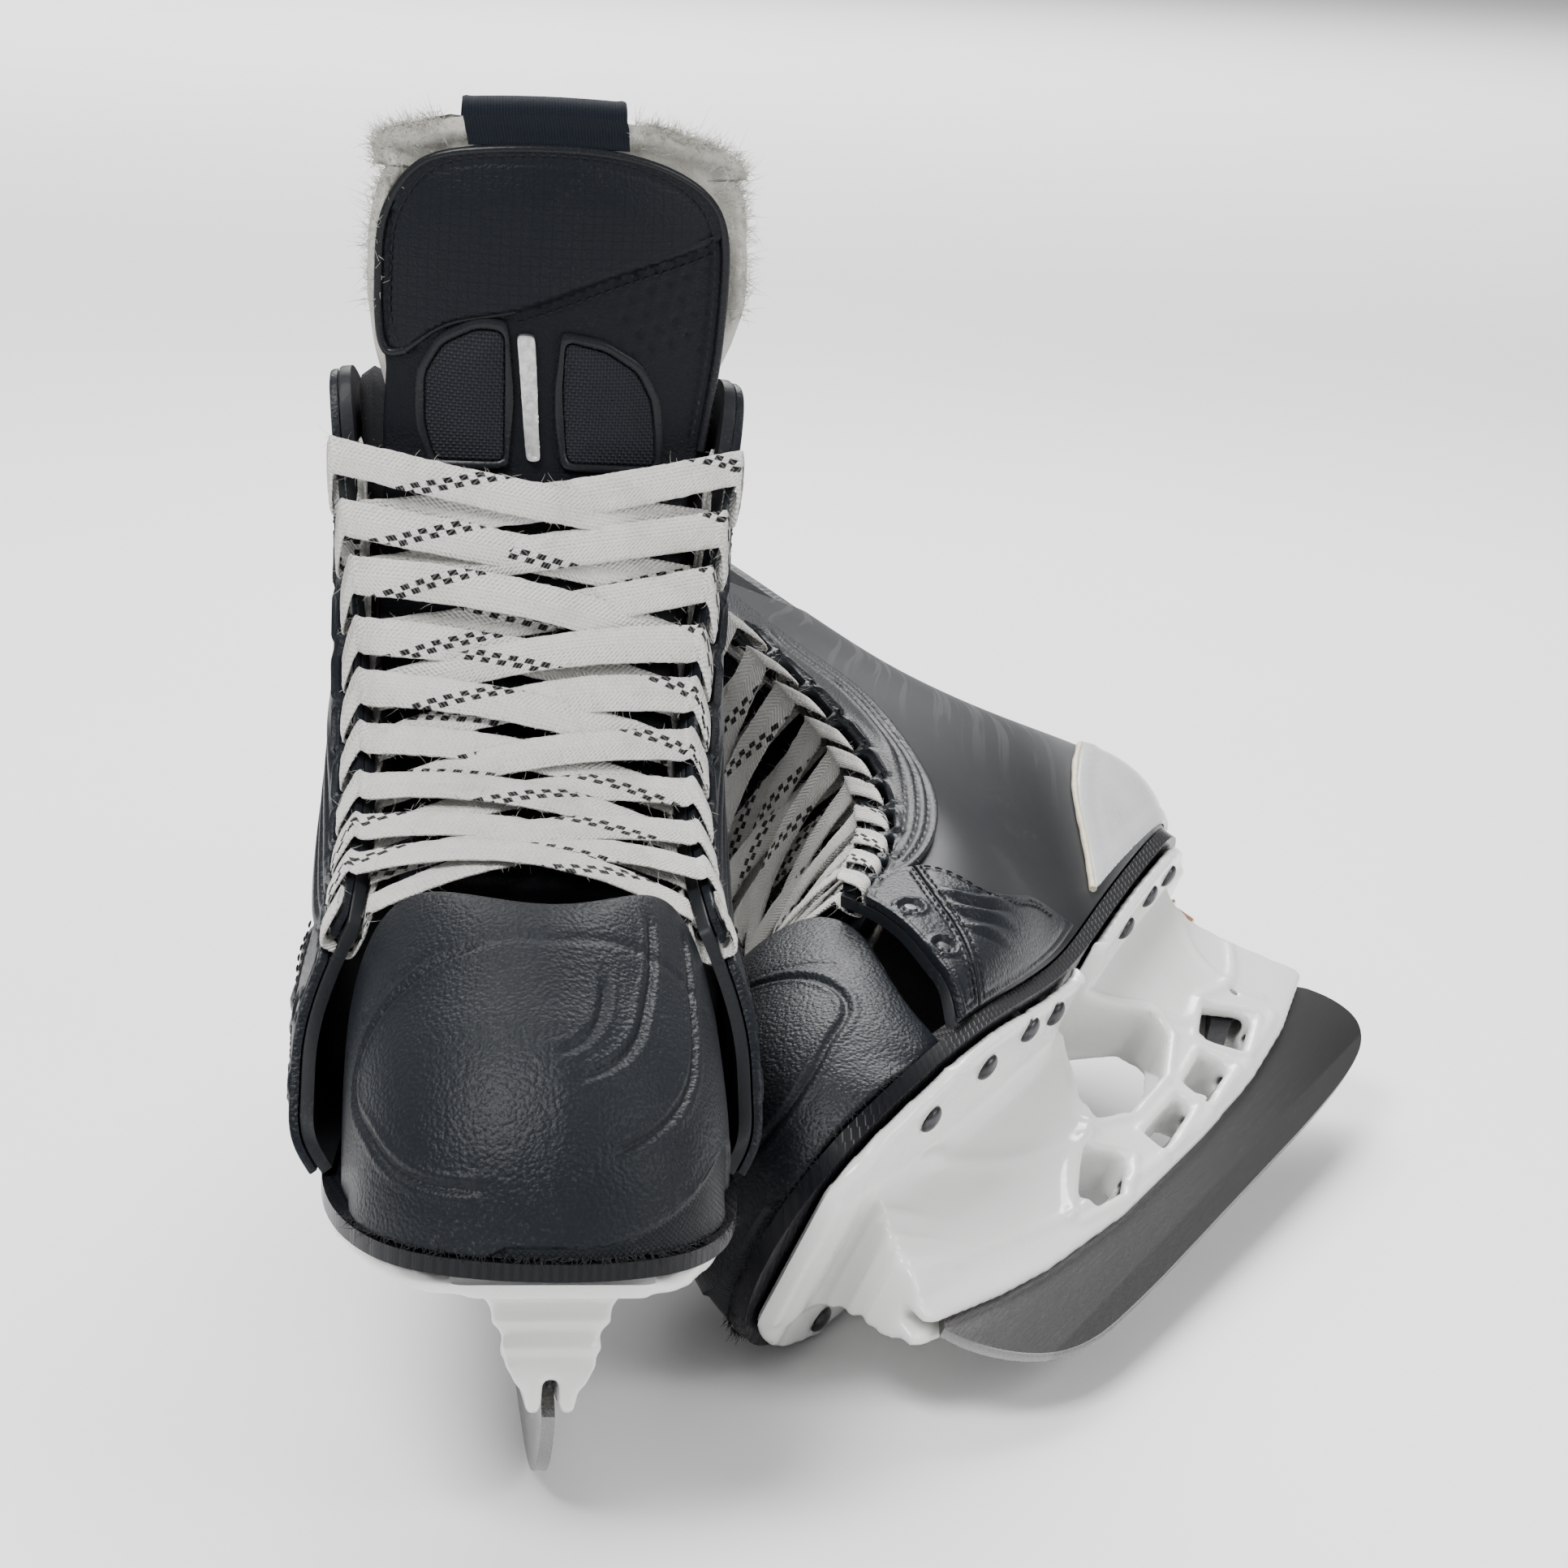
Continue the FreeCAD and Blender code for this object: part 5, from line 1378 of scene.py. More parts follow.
# ---------------------------------------------------------------- toe cap
CAP_SCALE = (62.0, 75.0)
CAP_GROOVES = [
    ([(-0.10, 0.22), (-0.27, 0.27), (-0.43, 0.30), (-0.61, 0.32), (-0.74, 0.37), (-0.76, 0.47), (-0.70, 0.6),
      (-0.6, 0.73), (-0.45, 0.81), (-0.2, 0.84)], 1.0, 0.9),
    ([(0.08, 0.30), (0.085, 0.42), (0.06, 0.49), (0.03, 0.52), (-0.02, 0.55)], 0.9, 0.7),
    ([(0.23, 0.10), (0.26, 0.28), (0.24, 0.41), (0.21, 0.5), (0.15, 0.56), (0.08, 0.59), (0.01, 0.61)], 0.9, 0.8),
    ([(0.46, 0.06), (0.49, 0.28), (0.5, 0.42), (0.47, 0.56), (0.39, 0.65), (0.27, 0.72), (0.12, 0.77)], 1.0, 0.9),
]
MESH_EDGE = [(-0.16, 0.965), (0.0, 0.963), (0.15, 0.958), (0.32, 0.92), (0.5, 0.84), (0.7, 0.67), (0.86, 0.5),
             (1.0, 0.4)]


def toe_surface(across, forward):
    """Points of the toe cap with outward normals."""
    across = np.asarray(across, float).ravel()
    forward = np.asarray(forward, float).ravel()
    points = toe(across, forward)
    rear = 1 - ramp(forward, 0.0, 0.42)
    points[:, 2] += 6.5 * rear * np.clip(1 - (across / 0.72) ** 2, 0, 1)
    points[:, 0] += 1.4 * np.sign(across) * ramp(np.abs(across), 0.35, 0.8) * (1 - ramp(forward, 0.35, 0.8))
    return points, normals_of(toe, across * 0.985, np.clip(forward, 0.02, 0.98), points - (0, -92.0, 74.0))


def toe_line(knots, step=0.6):
    """Smooth line on the toe cap."""
    flat = smooth_line(np.asarray(knots, float) * CAP_SCALE, step) / CAP_SCALE
    return toe_surface(flat[:, 0], flat[:, 1])


def toe_cap_shape():
    """Toe cap with moulded grooves and a step down to its mesh zone."""
    across = np.linspace(-1, 1, 301)
    forward = ramp(np.linspace(0, 1, 190), -0.25, 1.25)
    forward = (forward - forward[0]) / (forward[-1] - forward[0])
    a, f = np.meshgrid(across, forward, indexing="ij")
    base, normal = toe_surface(a, f)
    zone = np.array(MESH_EDGE + [(1.02, 1.02), (-0.3, 1.02)])
    in_zone = inside_loop(np.c_[a.ravel(), f.ravel()] * CAP_SCALE, zone * CAP_SCALE)
    height = np.zeros(len(base))
    for knots, width, depth in CAP_GROOVES:
        line = toe_line(knots)[0]
        near = distance_to(base, line)
        ends = ramp(distance_to(base, line[:1]), 0, 7) * ramp(distance_to(base, line[-1:]), 0, 7)
        height += (-depth * hump(near, width) + 0.25 * hump(near - 2.2, 0.9)) * ends
    edge_line = toe_line(MESH_EDGE)[0]
    near = distance_to(base, edge_line)
    height += np.where(in_zone, -0.7 * ramp(near, 0, 1.2), 0.25 * hump(near, 1.2))
    panel = hump(base[:, 1] + 96 - 0.25 * np.abs(base[:, 0]), 1.4) * (base[:, 2] > 104)
    height -= 0.35 * panel
    grid = base.reshape(a.shape + (3,))
    distance = grid_edge_distance(grid).ravel()
    height -= 1.0 * (1 - np.sqrt(1 - np.clip(1 - distance / 1.2, 0, 1) ** 2))
    outer = (base + normal * height[:, None]).reshape(grid.shape)
    core = np.array((0, -85.0, 72.0))
    inner = core + (grid - core) * (1 - 3 / 43.0, 1 - 3 / 60.0, 1 - 3 / 50.0)
    inner[..., 2] = np.maximum(inner[..., 2], grid[..., 2] - 3)
    lay = np.stack([a, f, (in_zone * ramp(near, 0.8, 1.8)).reshape(a.shape)], -1)
    return closed_grid(outer, inner, lay)


def fibres(roots, normals, length, radius, seed, bend=0.6):
    """Loose fibres: thin tapered rods that leave a surface and bend away."""
    strands = np.random.default_rng(seed)
    count = len(roots)
    reach = strands.uniform(length * 0.4, length, count)[:, None]
    away = unit(normals + strands.normal(0, 0.55, (count, 3)))
    curl = strands.normal(0, bend, (count, 3))
    rings = []
    side = unit(np.cross(away, strands.normal(size=(count, 3))))
    third = np.cross(away, side)
    for share, thick in ((-0.15, 1.0), (0.3, 0.9), (0.65, 0.7), (1.0, 0.3)):
        centre = roots + away * reach * share + curl * (max(share, 0) ** 2) * reach * 0.6
        ring = [centre + radius * thick * (math.cos(t) * side + math.sin(t) * third) for t in (0, 2.1, 4.2)]
        rings.append(np.stack(ring, 1))
    points = np.stack(rings, 1)
    template = np.arange(12).reshape(4, 3)
    turned = np.roll(template, -1, 1)
    quads = np.stack([template[:-1], turned[:-1], turned[1:], template[1:]], -1).reshape(-1, 4)
    ends = np.array([[2, 1, 0], [9, 10, 11]])
    shift = (np.arange(count) * 12)[:, None, None]
    return Shape().add(points.reshape(-1, 3), (quads[None] + shift).reshape(-1, 4), (ends[None] + shift).reshape(-1, 3))


# ---------------------------------------------------------------- tongue
TONGUE_SCALE = (1.0, 19.5)
TONGUE_SKIN = 3.0
PANEL_EDGE = [(40.0, 7.85), (41.6, 8.8), (42.3, 9.6), (41.8, 10.2), (38.8, 10.66), (31.0, 11.15), (17.5, 11.55),
              (0.0, 11.68), (-16.4, 11.62), (-29.8, 11.39), (-37.5, 10.85), (-41.4, 10.25), (-41.9, 9.7),
              (-41.5, 9.2), (-38.9, 8.88), (-34.5, 8.93)]
SEAM = [(-34.5, 8.93), (-25.8, 9.25), (-16.0, 9.38), (-9.0, 9.45), (1.5, 9.62), (17.0, 9.88), (31.0, 10.08),
        (41.0, 10.24)]
PADS = [[(-29.6, 8.7), (-26.0, 9.05), (-18.0, 9.25), (-11.6, 9.24), (-10.6, 8.62), (-9.0, 7.66), (-25.5, 7.66),
         (-28.6, 8.1)],
        [(3.2, 9.16), (12.9, 9.06), (21.0, 8.82), (25.4, 8.46), (27.1, 8.06), (28.0, 7.66), (6.2, 7.66),
         (3.4, 8.62)]]
STRIP = [(-8.6, 9.22), (-4.2, 9.22), (-0.3, 7.66), (-3.7, 7.66)]
PAD_BASE = 7.6     # lowest station of the pads


def tongue_line(knots, step=0.7):
    """Points on the tongue along a smooth line, with normals."""
    flat = smooth_line(np.asarray(knots, float) * TONGUE_SCALE, step) / TONGUE_SCALE
    return tongue_surface(flat[:, 0], flat[:, 1])


def cover_loop():
    """Outline of the tongue's cover from the toe end to the top panel."""
    low = np.linspace(0.4, 7.4, 26)
    half = tongue_half(low) - 0.5
    right_edge = np.stack([half, low], 1)
    left_edge = np.stack([-half, low], 1)[::-1]
    top = smooth_line(np.array(PANEL_EDGE[:14]) * TONGUE_SCALE, 2.0) / TONGUE_SCALE
    return np.concatenate([right_edge, top, [(-39.6, 8.7), (-39.2, 8.0)], left_edge])


def cover_shape():
    """Tongue cover with its seam step, embossed triangles and welts."""
    seam = smooth_line(np.array(SEAM) * TONGUE_SCALE, 0.8) / TONGUE_SCALE
    seam_points = tongue(seam[:, 0], seam[:, 1])
    low_curve = tongue_line([(-26, 2.6), (-12, 2.15), (0, 2.35), (10, 2.75), (24, 2.6)])[0]

    def relief(points, distance, own):
        x, along = own[:, 0], own[:, 1]
        seam_at = np.interp(x, seam[:, 0], seam[:, 1])
        above = ramp((along - seam_at) * 19.5, -0.6, 0.5) * (x > -39)
        pillow = 1.1 * ramp(distance, 2.5, 14.0)
        total = above * (0.9 + pillow) - 0.5 * hump(distance_to(points, seam_points), 0.7)
        row = (along * 19.5 - x * 0.28) / 4.2
        column = (x + along * 19.5 * 0.3) / 5.0 + 0.5 * (np.floor(row) % 2)
        fx, fy = column - np.floor(column) - 0.5, row - np.floor(row) - 0.5
        wedge = ramp(0.42 - np.abs(fx) * 1.6 - np.abs(fy) * 1.1, 0.0, 0.22) * (fx < 0.2)
        field = ramp(x, 12, 20) * ramp(along, 8.85, 9.1) * (1 - above) * ramp(distance, 3.5, 5.0)
        total -= 0.75 * wedge * field
        total -= 0.25 * hump(distance - 3.2, 0.5) * (along > 8.3)
        ribs = hump(np.abs(x) - 20, 1.2) + hump(np.abs(x) - 8, 1.0)
        total += 0.7 * ribs * (1 - ramp(along, 6.6, 7.2)) * ramp(along, 2.9, 3.4)
        total += 0.8 * hump(distance_to(points, low_curve), 1.0)
        return total

    return plate(cover_loop(), [], tongue_surface, TONGUE_SCALE, -TONGUE_SKIN, 0.0, relief, spacing=1.05,
                 rounding=0.9, edge_step=1.2)


def piping_shape():
    """Rounded welts round the top panel and along its seam."""
    shape = Shape()
    edge, normal = tongue_line(PANEL_EDGE)
    shape.join(tube(edge + normal * 0.15, 1.15, 12, normal))
    seam, normal = tongue_line(SEAM[:4])
    shape.join(tube(seam + normal * 0.5, 0.8, 10, normal))
    return shape


def tongue_thread_shape():
    """Sewn rows inside the panel's edge and above the seam."""
    shape = Shape()
    inner = [(x * 0.925, along - (along - 9.9) * 0.075) for x, along in PANEL_EDGE[:-1]]
    line, normal = tongue_line(inner)
    shape.join(stitches(line + normal * 0.75, normal, 2.5, 1.8, 0.3))
    for lift in (0.10, -0.13):
        line, normal = tongue_line([(x, along + lift) for x, along in SEAM[3:]])
        shape.join(stitches(line + normal * (1.3 if lift > 0 else 0.05), normal, 2.5, 1.8, 0.3))
    return shape


def low_thread_shape():
    """Sewn row low on the tongue."""
    line, normal = tongue_line([(-24, 2.95), (-12, 2.5), (0, 2.7), (10, 3.1), (22, 2.95)])
    return stitches(line + normal * 0.05, normal, 2.6, 1.9, 0.3)


def raised(loop):
    """Loop with its lowest points kept above the lace."""
    return [(x, max(along, PAD_BASE)) for x, along in loop]


def pad_shapes():
    """Mesh pads and the rounded frames round them."""
    mesh, frames = Shape(), Shape()
    for loop in PADS:
        soft = smooth_closed(np.array(raised(loop)) * TONGUE_SCALE) / TONGUE_SCALE
        centre = soft.mean(0)
        flat = (soft - centre) * TONGUE_SCALE
        grown = centre + flat * (1 + 2.4 / np.linalg.norm(flat, axis=1, keepdims=True)) / TONGUE_SCALE
        mesh.join(plate(soft, [], tongue_surface, TONGUE_SCALE, 0.2, 1.3,
                        lambda p, d, q: 0.9 * ramp(d, 0.5, 7.0), spacing=0.9, rounding=0.6,
                        lay=lambda p, d, q: np.c_[q[:, 0], q[:, 1] * 19.5, d]))
        frames.join(plate(grown, [soft], tongue_surface, TONGUE_SCALE, 0.2, 1.9, None, spacing=0.7,
                          rounding=1.0, edge_step=0.8))
    return mesh, frames


def smooth_closed(loop, step=0.9):
    """Closed loop with softly rounded corners."""
    dense = straight_line(np.vstack([loop, loop[:1]]), step)[:-1]
    kernel = np.hanning(9)[1:-1]
    kernel /= kernel.sum()
    half = len(kernel) // 2
    wrapped = np.concatenate([dense[-half:], dense, dense[:half]])
    return np.stack([np.convolve(wrapped[:, k], kernel, "valid") for k in range(2)], 1)


def strip_shape():
    """Silver strip between the pads, with a raised border."""
    loop = smooth_closed(np.array(raised(STRIP)) * TONGUE_SCALE, 0.6) / TONGUE_SCALE
    return plate(loop, [], tongue_surface, TONGUE_SCALE, 0.2, 1.9, lambda p, d, q: -0.35 * ramp(d, 0.6, 1.1),
                 spacing=0.7, rounding=0.35, edge_step=0.6)


def felt_shape():
    """Felt of the whole tongue: a thick soft sheet whose edge rolls forward round the cover."""
    rows, columns = 170, 110
    along = np.concatenate([np.linspace(0.55, 7.0, 60), np.linspace(7.05, 13.25, 110)])[:rows]
    share = np.sin(np.linspace(-math.pi / 2, math.pi / 2, columns)) * 0.75 + np.linspace(-1, 1, columns) * 0.25
    v, u = np.meshgrid(along, share, indexing="ij")
    grown = ramp(v, 7.9, 9.2)
    half = tongue_half(v.ravel()).reshape(v.shape)
    # the top closes in a rounded arch, a little wider than the cover all round
    arch = np.sqrt(np.clip(1 - ((v - 11.2) / 2.12).clip(0, 1) ** 2.6, 0.0, 1))
    half = np.where(v > 11.2, 46.0 * (0.30 + 0.70 * arch) - 4.0, half)
    left_side = half + 3.4 * grown
    right_side = half + 7.6 * grown * (1 - 0.35 * ramp(v, 11.0, 12.6))
    x = np.where(u < 0, u * left_side, u * right_side)
    base, normal = tongue_surface(x, v)
    grid = base.reshape(v.shape + (3,))
    normal = normal.reshape(grid.shape)
    distance = grid_edge_distance(grid)
    lumps = value_noise(base, 0.22, 5).reshape(v.shape)
    fine = value_noise(base, 0.9, 8).reshape(v.shape)
    front = -TONGUE_SKIN - 0.6 + (3.4 + 0.6 * lumps) * (1 - ramp(distance, 4.0, 8.0)) * ramp(v, 8.9, 9.6)
    back = -TONGUE_SKIN - 0.6 - 3.6 - 2.6 * ramp(v, 7.0, 8.4) + lumps * 0.4
    middle, thick = (front + back) / 2, (front - back) / 2
    round_off = np.sqrt(1 - np.clip(1 - distance / 4.6, 0, 1) ** 2)
    outer = grid + normal * (middle + thick * round_off + fine * 0.22 * round_off)[..., None]
    inner = grid + normal * (middle - thick * round_off - fine * 0.22 * round_off)[..., None]
    sideways = unit(np.gradient(grid, axis=1))
    outer += sideways * (lumps * (distance < 5) * 0.35)[..., None]
    return closed_grid(outer, inner), outer, distance, v


def fluff_shape(outer, distance, along):
    """Loose fibres standing off the felt's rolled edge above the fold."""
    under_label = (np.abs(outer[..., 0] + 1.8) < 23) & (along > 11.2)
    spots = np.argwhere((distance < 7.0) & (along > 9.3) & ~under_label)
    chosen = spots[rng.choice(len(spots), 2600)]
    roots = outer[chosen[:, 0], chosen[:, 1]]
    centre = np.array((2.0, 30.0, 255.0))
    away = unit(unit(roots - centre) * 0.8 + (0, -0.6, 0.1))
    jitter = rng.normal(0, 0.5, roots.shape)
    return fibres(roots + jitter, away, 3.4, 0.085, 21, 0.9)


def label_shape():
    """Plain woven tab folded over the top of the felt."""
    front = np.linspace(11.74, 12.9, 16)
    columns = np.linspace(-21.0, 17.5, 45)
    grid = []
    for station in front:
        points, normal = tongue_surface(columns, np.full(len(columns), station))
        lift = -0.2 + 1.3 * ramp(station, 11.8, 12.4)
        grid.append(points + normal * lift)
    top = grid[-1]
    rows = []
    radius = 5.2
    for degrees in np.linspace(10, 180, 14):
        turn = math.radians(degrees)
        rows.append(top + (0, radius * (1 - math.cos(turn)), radius * 0.72 * math.sin(turn)))
    for drop in (3, 7, 11, 15):
        rows.append(top + (0, radius * 2, -drop))
    path = np.array(grid + rows)
    along = np.gradient(path, axis=0)
    across = np.gradient(path, axis=1)
    normal = unit(np.cross(across, along))
    if normal[0, 0, 1] > 0:
        normal = -normal
    v = np.repeat(np.arange(len(path))[:, None] * 1.5, len(columns), 1)
    lay = np.stack([np.repeat(columns[None], len(path), 0), v, v * 0], -1)
    distance = grid_edge_distance(path)
    welt = 0.25 * hump(distance - 1.0, 0.7)
    return closed_grid(path + normal * (0.55 + welt)[..., None], path - normal * 0.45, lay)


# ---------------------------------------------------------------- lace
LACE_OUTSIDE = SECOND_LAYER + 1.35
LACE_INSIDE = -SHELL - 1.5


def out_of_throat(along):
    """Direction out of the throat, square to its edge and to the skate's width."""
    out = np.array([0.0, along[2], -along[1]])
    out /= np.linalg.norm(out)
    return out if out[2] - out[1] > 0 else -out


def lace_strand(first_sign, lift, seed):
    """Centre line, width axis and face axis of one half of the lace, bottom to top."""
    loose = np.random.default_rng(seed)
    centre, wide, face = [], [], []

    def stop(point, width_axis, face_axis):
        centre.append(point)
        wide.append(width_axis / np.linalg.norm(width_axis))
        face.append(face_axis / np.linalg.norm(face_axis))

    sign, flip = first_sign, 1
    for row in range(EYELET_COUNT - 1, -1, -1):
        eye = EYELETS[sign][row]
        turn = eye["edge_normal"] + out_of_throat(eye["along"])
        if centre:
            start, start_wide = centre[-1], wide[-1]
            target = eye["edge"] - eye["away"] * 2.2 + eye["edge_normal"] * 0.9
            out = out_of_throat(start_wide + eye["along"])
            side_out = out if face[-1] @ out > 0 else -out
            slack = 6.4 + loose.uniform(-1.0, 2.2) + lift
            drift = loose.uniform(-2.4, 2.4)
            tilt = loose.uniform(-0.42, 0.42)
            for share in (0.13, 0.3, 0.5, 0.7, 0.87):
                spot = start * (1 - share) + target * share
                axis = start_wide * (1 - share) + eye["along"] * share
                bow = math.sin(math.pi * share)
                stop(spot + out * slack * bow ** 0.9 + axis * drift * bow,
                     axis + out * tilt * bow * (1 if share > 0.5 else -0.6), side_out)
            stop(target, eye["along"], turn * flip)
        along, away, normal, edge_normal = eye["along"], eye["away"], eye["normal"], eye["edge_normal"]
        stop(eye["edge"] - away * 1.0 + edge_normal * LACE_OUTSIDE, along, edge_normal * flip)
        stop(eye["slot"] + normal * LACE_OUTSIDE - away * 1.0, along, normal * flip)
        stop(eye["slot"], along, away * flip)
        stop(eye["slot"] + normal * LACE_INSIDE - away * 1.0, along, -normal * flip)
        stop(eye["edge"] - away * 1.0 + edge_normal * LACE_INSIDE, along, -edge_normal * flip)
        sign, flip = -sign, -flip
        if row > 0:
            stop(eye["edge"] - away * 2.2 + edge_normal * (LACE_INSIDE + 1.2), along, turn * flip)
    return np.array(centre), np.array(wide), np.array(face)


def lace_shape():
    """Both halves of the lace as flat soft ribbons with a slightly uneven width."""
    shape = Shape()
    start_at = 0.0
    for first_sign, lift, seed in ((-1, 0.0, 31), (1, 1.9, 47)):
        centre, wide, face = lace_strand(first_sign, lift, seed)
        reach = np.concatenate([[0], np.cumsum(np.linalg.norm(np.diff(centre, axis=0), axis=1))])
        count = int(reach[-1] / 0.9)
        at = np.linspace(0, reach[-1], count)
        # a Catmull-Rom curve through the stops keeps the tight turns from swinging out
        index = np.arange(len(centre))
        place_at = np.interp(at, reach, index)
        smooth = catmull(centre, place_at)
        wide_at = unit(np.stack([np.interp(at, reach, wide[:, k]) for k in range(3)], 1))
        face_at = unit(np.stack([np.interp(at, reach, face[:, k]) for k in range(3)], 1))
        kernel = np.hanning(7)[1:-1]
        kernel /= kernel.sum()
        face_at = unit(np.stack([np.convolve(np.pad(face_at[:, k], 2, "edge"), kernel, "valid") for k in range(3)], 1))
        wide_at = unit(wide_at - face_at * (wide_at * face_at).sum(1, keepdims=True))
        uneven = 1 + 0.05 * value_noise(smooth, 0.11, seed) + 0.02 * value_noise(smooth, 0.5, seed + 1)
        cup = 0.25 * value_noise(smooth, 0.05, seed + 2)
        around = np.linspace(0, 2 * math.pi, 22, endpoint=False)
        across = np.sign(np.cos(around)) * np.abs(np.cos(around)) ** 0.75 * LACE_WIDTH / 2
        thick = np.sign(np.sin(around)) * np.abs(np.sin(around)) ** 0.8 * LACE_THICK / 2
        bulge = cup[:, None] * (1 - (across / (LACE_WIDTH / 2)) ** 2)[None]
        rings = (smooth[:, None] + wide_at[:, None] * (across[None] * uneven[:, None])[..., None]
                 + face_at[:, None] * (thick[None] + bulge)[..., None])
        flat = rings.reshape(-1, 3)
        away = (face_at[:, None] * np.sin(around)[None, :, None]
                + wide_at[:, None] * np.cos(around)[None, :, None]).reshape(-1, 3)
        flat = flat + away * (0.09 * value_noise(flat, 1.5, seed + 3) + 0.06 * value_noise(flat, 3.2, seed + 4))[:, None]
        points, quads, triangles = ring_stack(flat.reshape(rings.shape))
        lay = np.stack([np.broadcast_to(across[None], rings.shape[:2]),
                        np.broadcast_to(at[:, None] + start_at, rings.shape[:2]),
                        np.broadcast_to((thick > 0)[None].astype(float), rings.shape[:2])], -1).reshape(-1, 3)
        shape.add(points, quads, triangles, np.concatenate([lay, lay[:1], lay[-1:]]))
        start_at += 23.0
    return shape


def catmull(points, at):
    """Catmull-Rom curve through points, at fractional indices."""
    i = np.clip(np.floor(at).astype(int), 0, len(points) - 2)
    t = (at - i)[:, None]
    padded = np.vstack([points[:1] * 2 - points[1:2], points, points[-1:] * 2 - points[-2:-1]])
    a, b, c, d = (padded[i + k] for k in range(4))
    return 0.5 * (2 * b + (c - a) * t + (2 * a - 5 * b + 4 * c - d) * t ** 2 + (3 * b - a - 3 * c + d) * t ** 3)


# ---------------------------------------------------------------- blade holder and runner
WINDOW_RIMS = [
    [(6.5, 71), (-7, 54.5), (-21, 42), (0, 35.5), (28, 37), (49, 44.5), (53, 52.5), (30, 66.5), (19, 73)],
    [(-59, 25.3), (-31, 36.8), (-18, 27.5), (-35, 21.8), (-59, 25.3)],
    [(-5, 28.5), (23, 29.8), (25, 25.3), (-5, 22), (-5, 28.5)],
    [(31, 31.2), (52.5, 34), (57.5, 26), (31, 23.2), (31, 31.2)],
    [(58.5, 37.6), (76, 43.5), (91.5, 31.8), (68.5, 26.6), (58.5, 37.6)],
]
HOLDER_RIBS = [
    ([(6, 72), (-9, 56), (-22, 41), (-36, 38), (-62, 27)], 1.6, 1.0),
    ([(-104, 62), (-88, 55), (-66, 47), (-40, 40.5), (-22, 38.5)], 2.2, 0.9),
    ([(-131, 42), (-112, 38), (-84, 31.5), (-62, 27), (-30, 22.5), (20, 20.5), (62, 23), (100, 28)], 1.6, 0.7),
    ([(53, 52), (60, 44), (76, 46), (96, 44), (118, 52)], 1.8, 0.8),
    ([(112, 68), (100, 58), (97, 46), (104, 34)], 1.8, 0.6),
]


def holder_shape():
    """The frame's holder with its edges softened as in moulding, plus ribs, rims and toe waves."""
    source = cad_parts["right_blade_holder"]
    mesh = source.data.copy()
    body = bmesh.new()
    body.from_mesh(mesh)
    bmesh.ops.remove_doubles(body, verts=body.verts, dist=2e-5)
    body.to_mesh(mesh)
    body.free()
    block = bpy.data.objects.new("holder_block", mesh)
    bpy.context.scene.collection.objects.link(block)
    remesh = block.modifiers.new("Remesh", "REMESH")
    remesh.mode = "VOXEL"
    remesh.voxel_size = 0.00085
    soften = block.modifiers.new("Soften", "SMOOTH")
    soften.factor = 0.5
    soften.iterations = 20
    soft = bpy.data.meshes.new_from_object(block.evaluated_get(bpy.context.evaluated_depsgraph_get()))
    count = len(soft.vertices)
    points = np.empty(count * 3, np.float32)
    soft.vertices.foreach_get("co", points)
    normal = np.empty(count * 3, np.float32)
    soft.vertex_normals.foreach_get("vector", normal)
    loops = np.empty(len(soft.loops), np.int32)
    soft.loops.foreach_get("vertex_index", loops)
    bpy.data.objects.remove(block)
    bpy.data.meshes.remove(mesh)
    points = points.reshape(-1, 3).astype(float) * 1000
    normal = normal.reshape(-1, 3).astype(float)
    bpy.data.meshes.remove(soft)
    x, y, z = points.T
    flank = ramp(np.abs(normal[:, 0]), 0.35, 0.8) * (np.abs(x) > 4.3)
    side_view = np.c_[np.zeros(count), y, z]
    height = np.zeros(count)
    for knots, width, rise in HOLDER_RIBS:
        line = smooth_line(np.array(knots, float), 0.8)
        near = distance_to(side_view, np.c_[np.zeros(len(line)), line])
        height += rise * hump(near, width) * flank
    for knots in WINDOW_RIMS:
        line = straight_line(np.array(knots, float), 0.8)
        near = distance_to(side_view, np.c_[np.zeros(len(line)), line])
        height += 0.8 * hump(near - 1.8, 1.3) * flank
    front = 1 - ramp(y, -128, -96)
    drop = z + (y + 130) * 0.55
    for level in (60.0, 53.0, 46.5):
        height += 0.95 * hump(drop - level, 1.7) * front * (z < 66)
    height += 0.35 * hump(x, 0.28) * (1 - ramp(y, -126, -116)) * (z < 66)
    points += normal * height[:, None]
    return Shape().add(points, loops.reshape(-1, 4))


RUNNER_EDGE = [(-128, 29), (-126, 23), (-119, 13.5), (-110, 7), (-97, 2.6), (-76, 0.6), (-50, 0), (55, 0),
               (92, 0.8), (118, 3), (132, 6.8), (139, 12.5), (140, 20), (136.5, 28)]
RUNNER_TOP = [(128, 35.5), (111, 32.6), (111, 37), (105, 37), (104, 31.2), (61, 25.8), (17, 24), (-40, 24),
              (-83, 27.5), (-92, 29.6), (-93, 38), (-101, 38), (-103, 31.5), (-118, 34.5)]


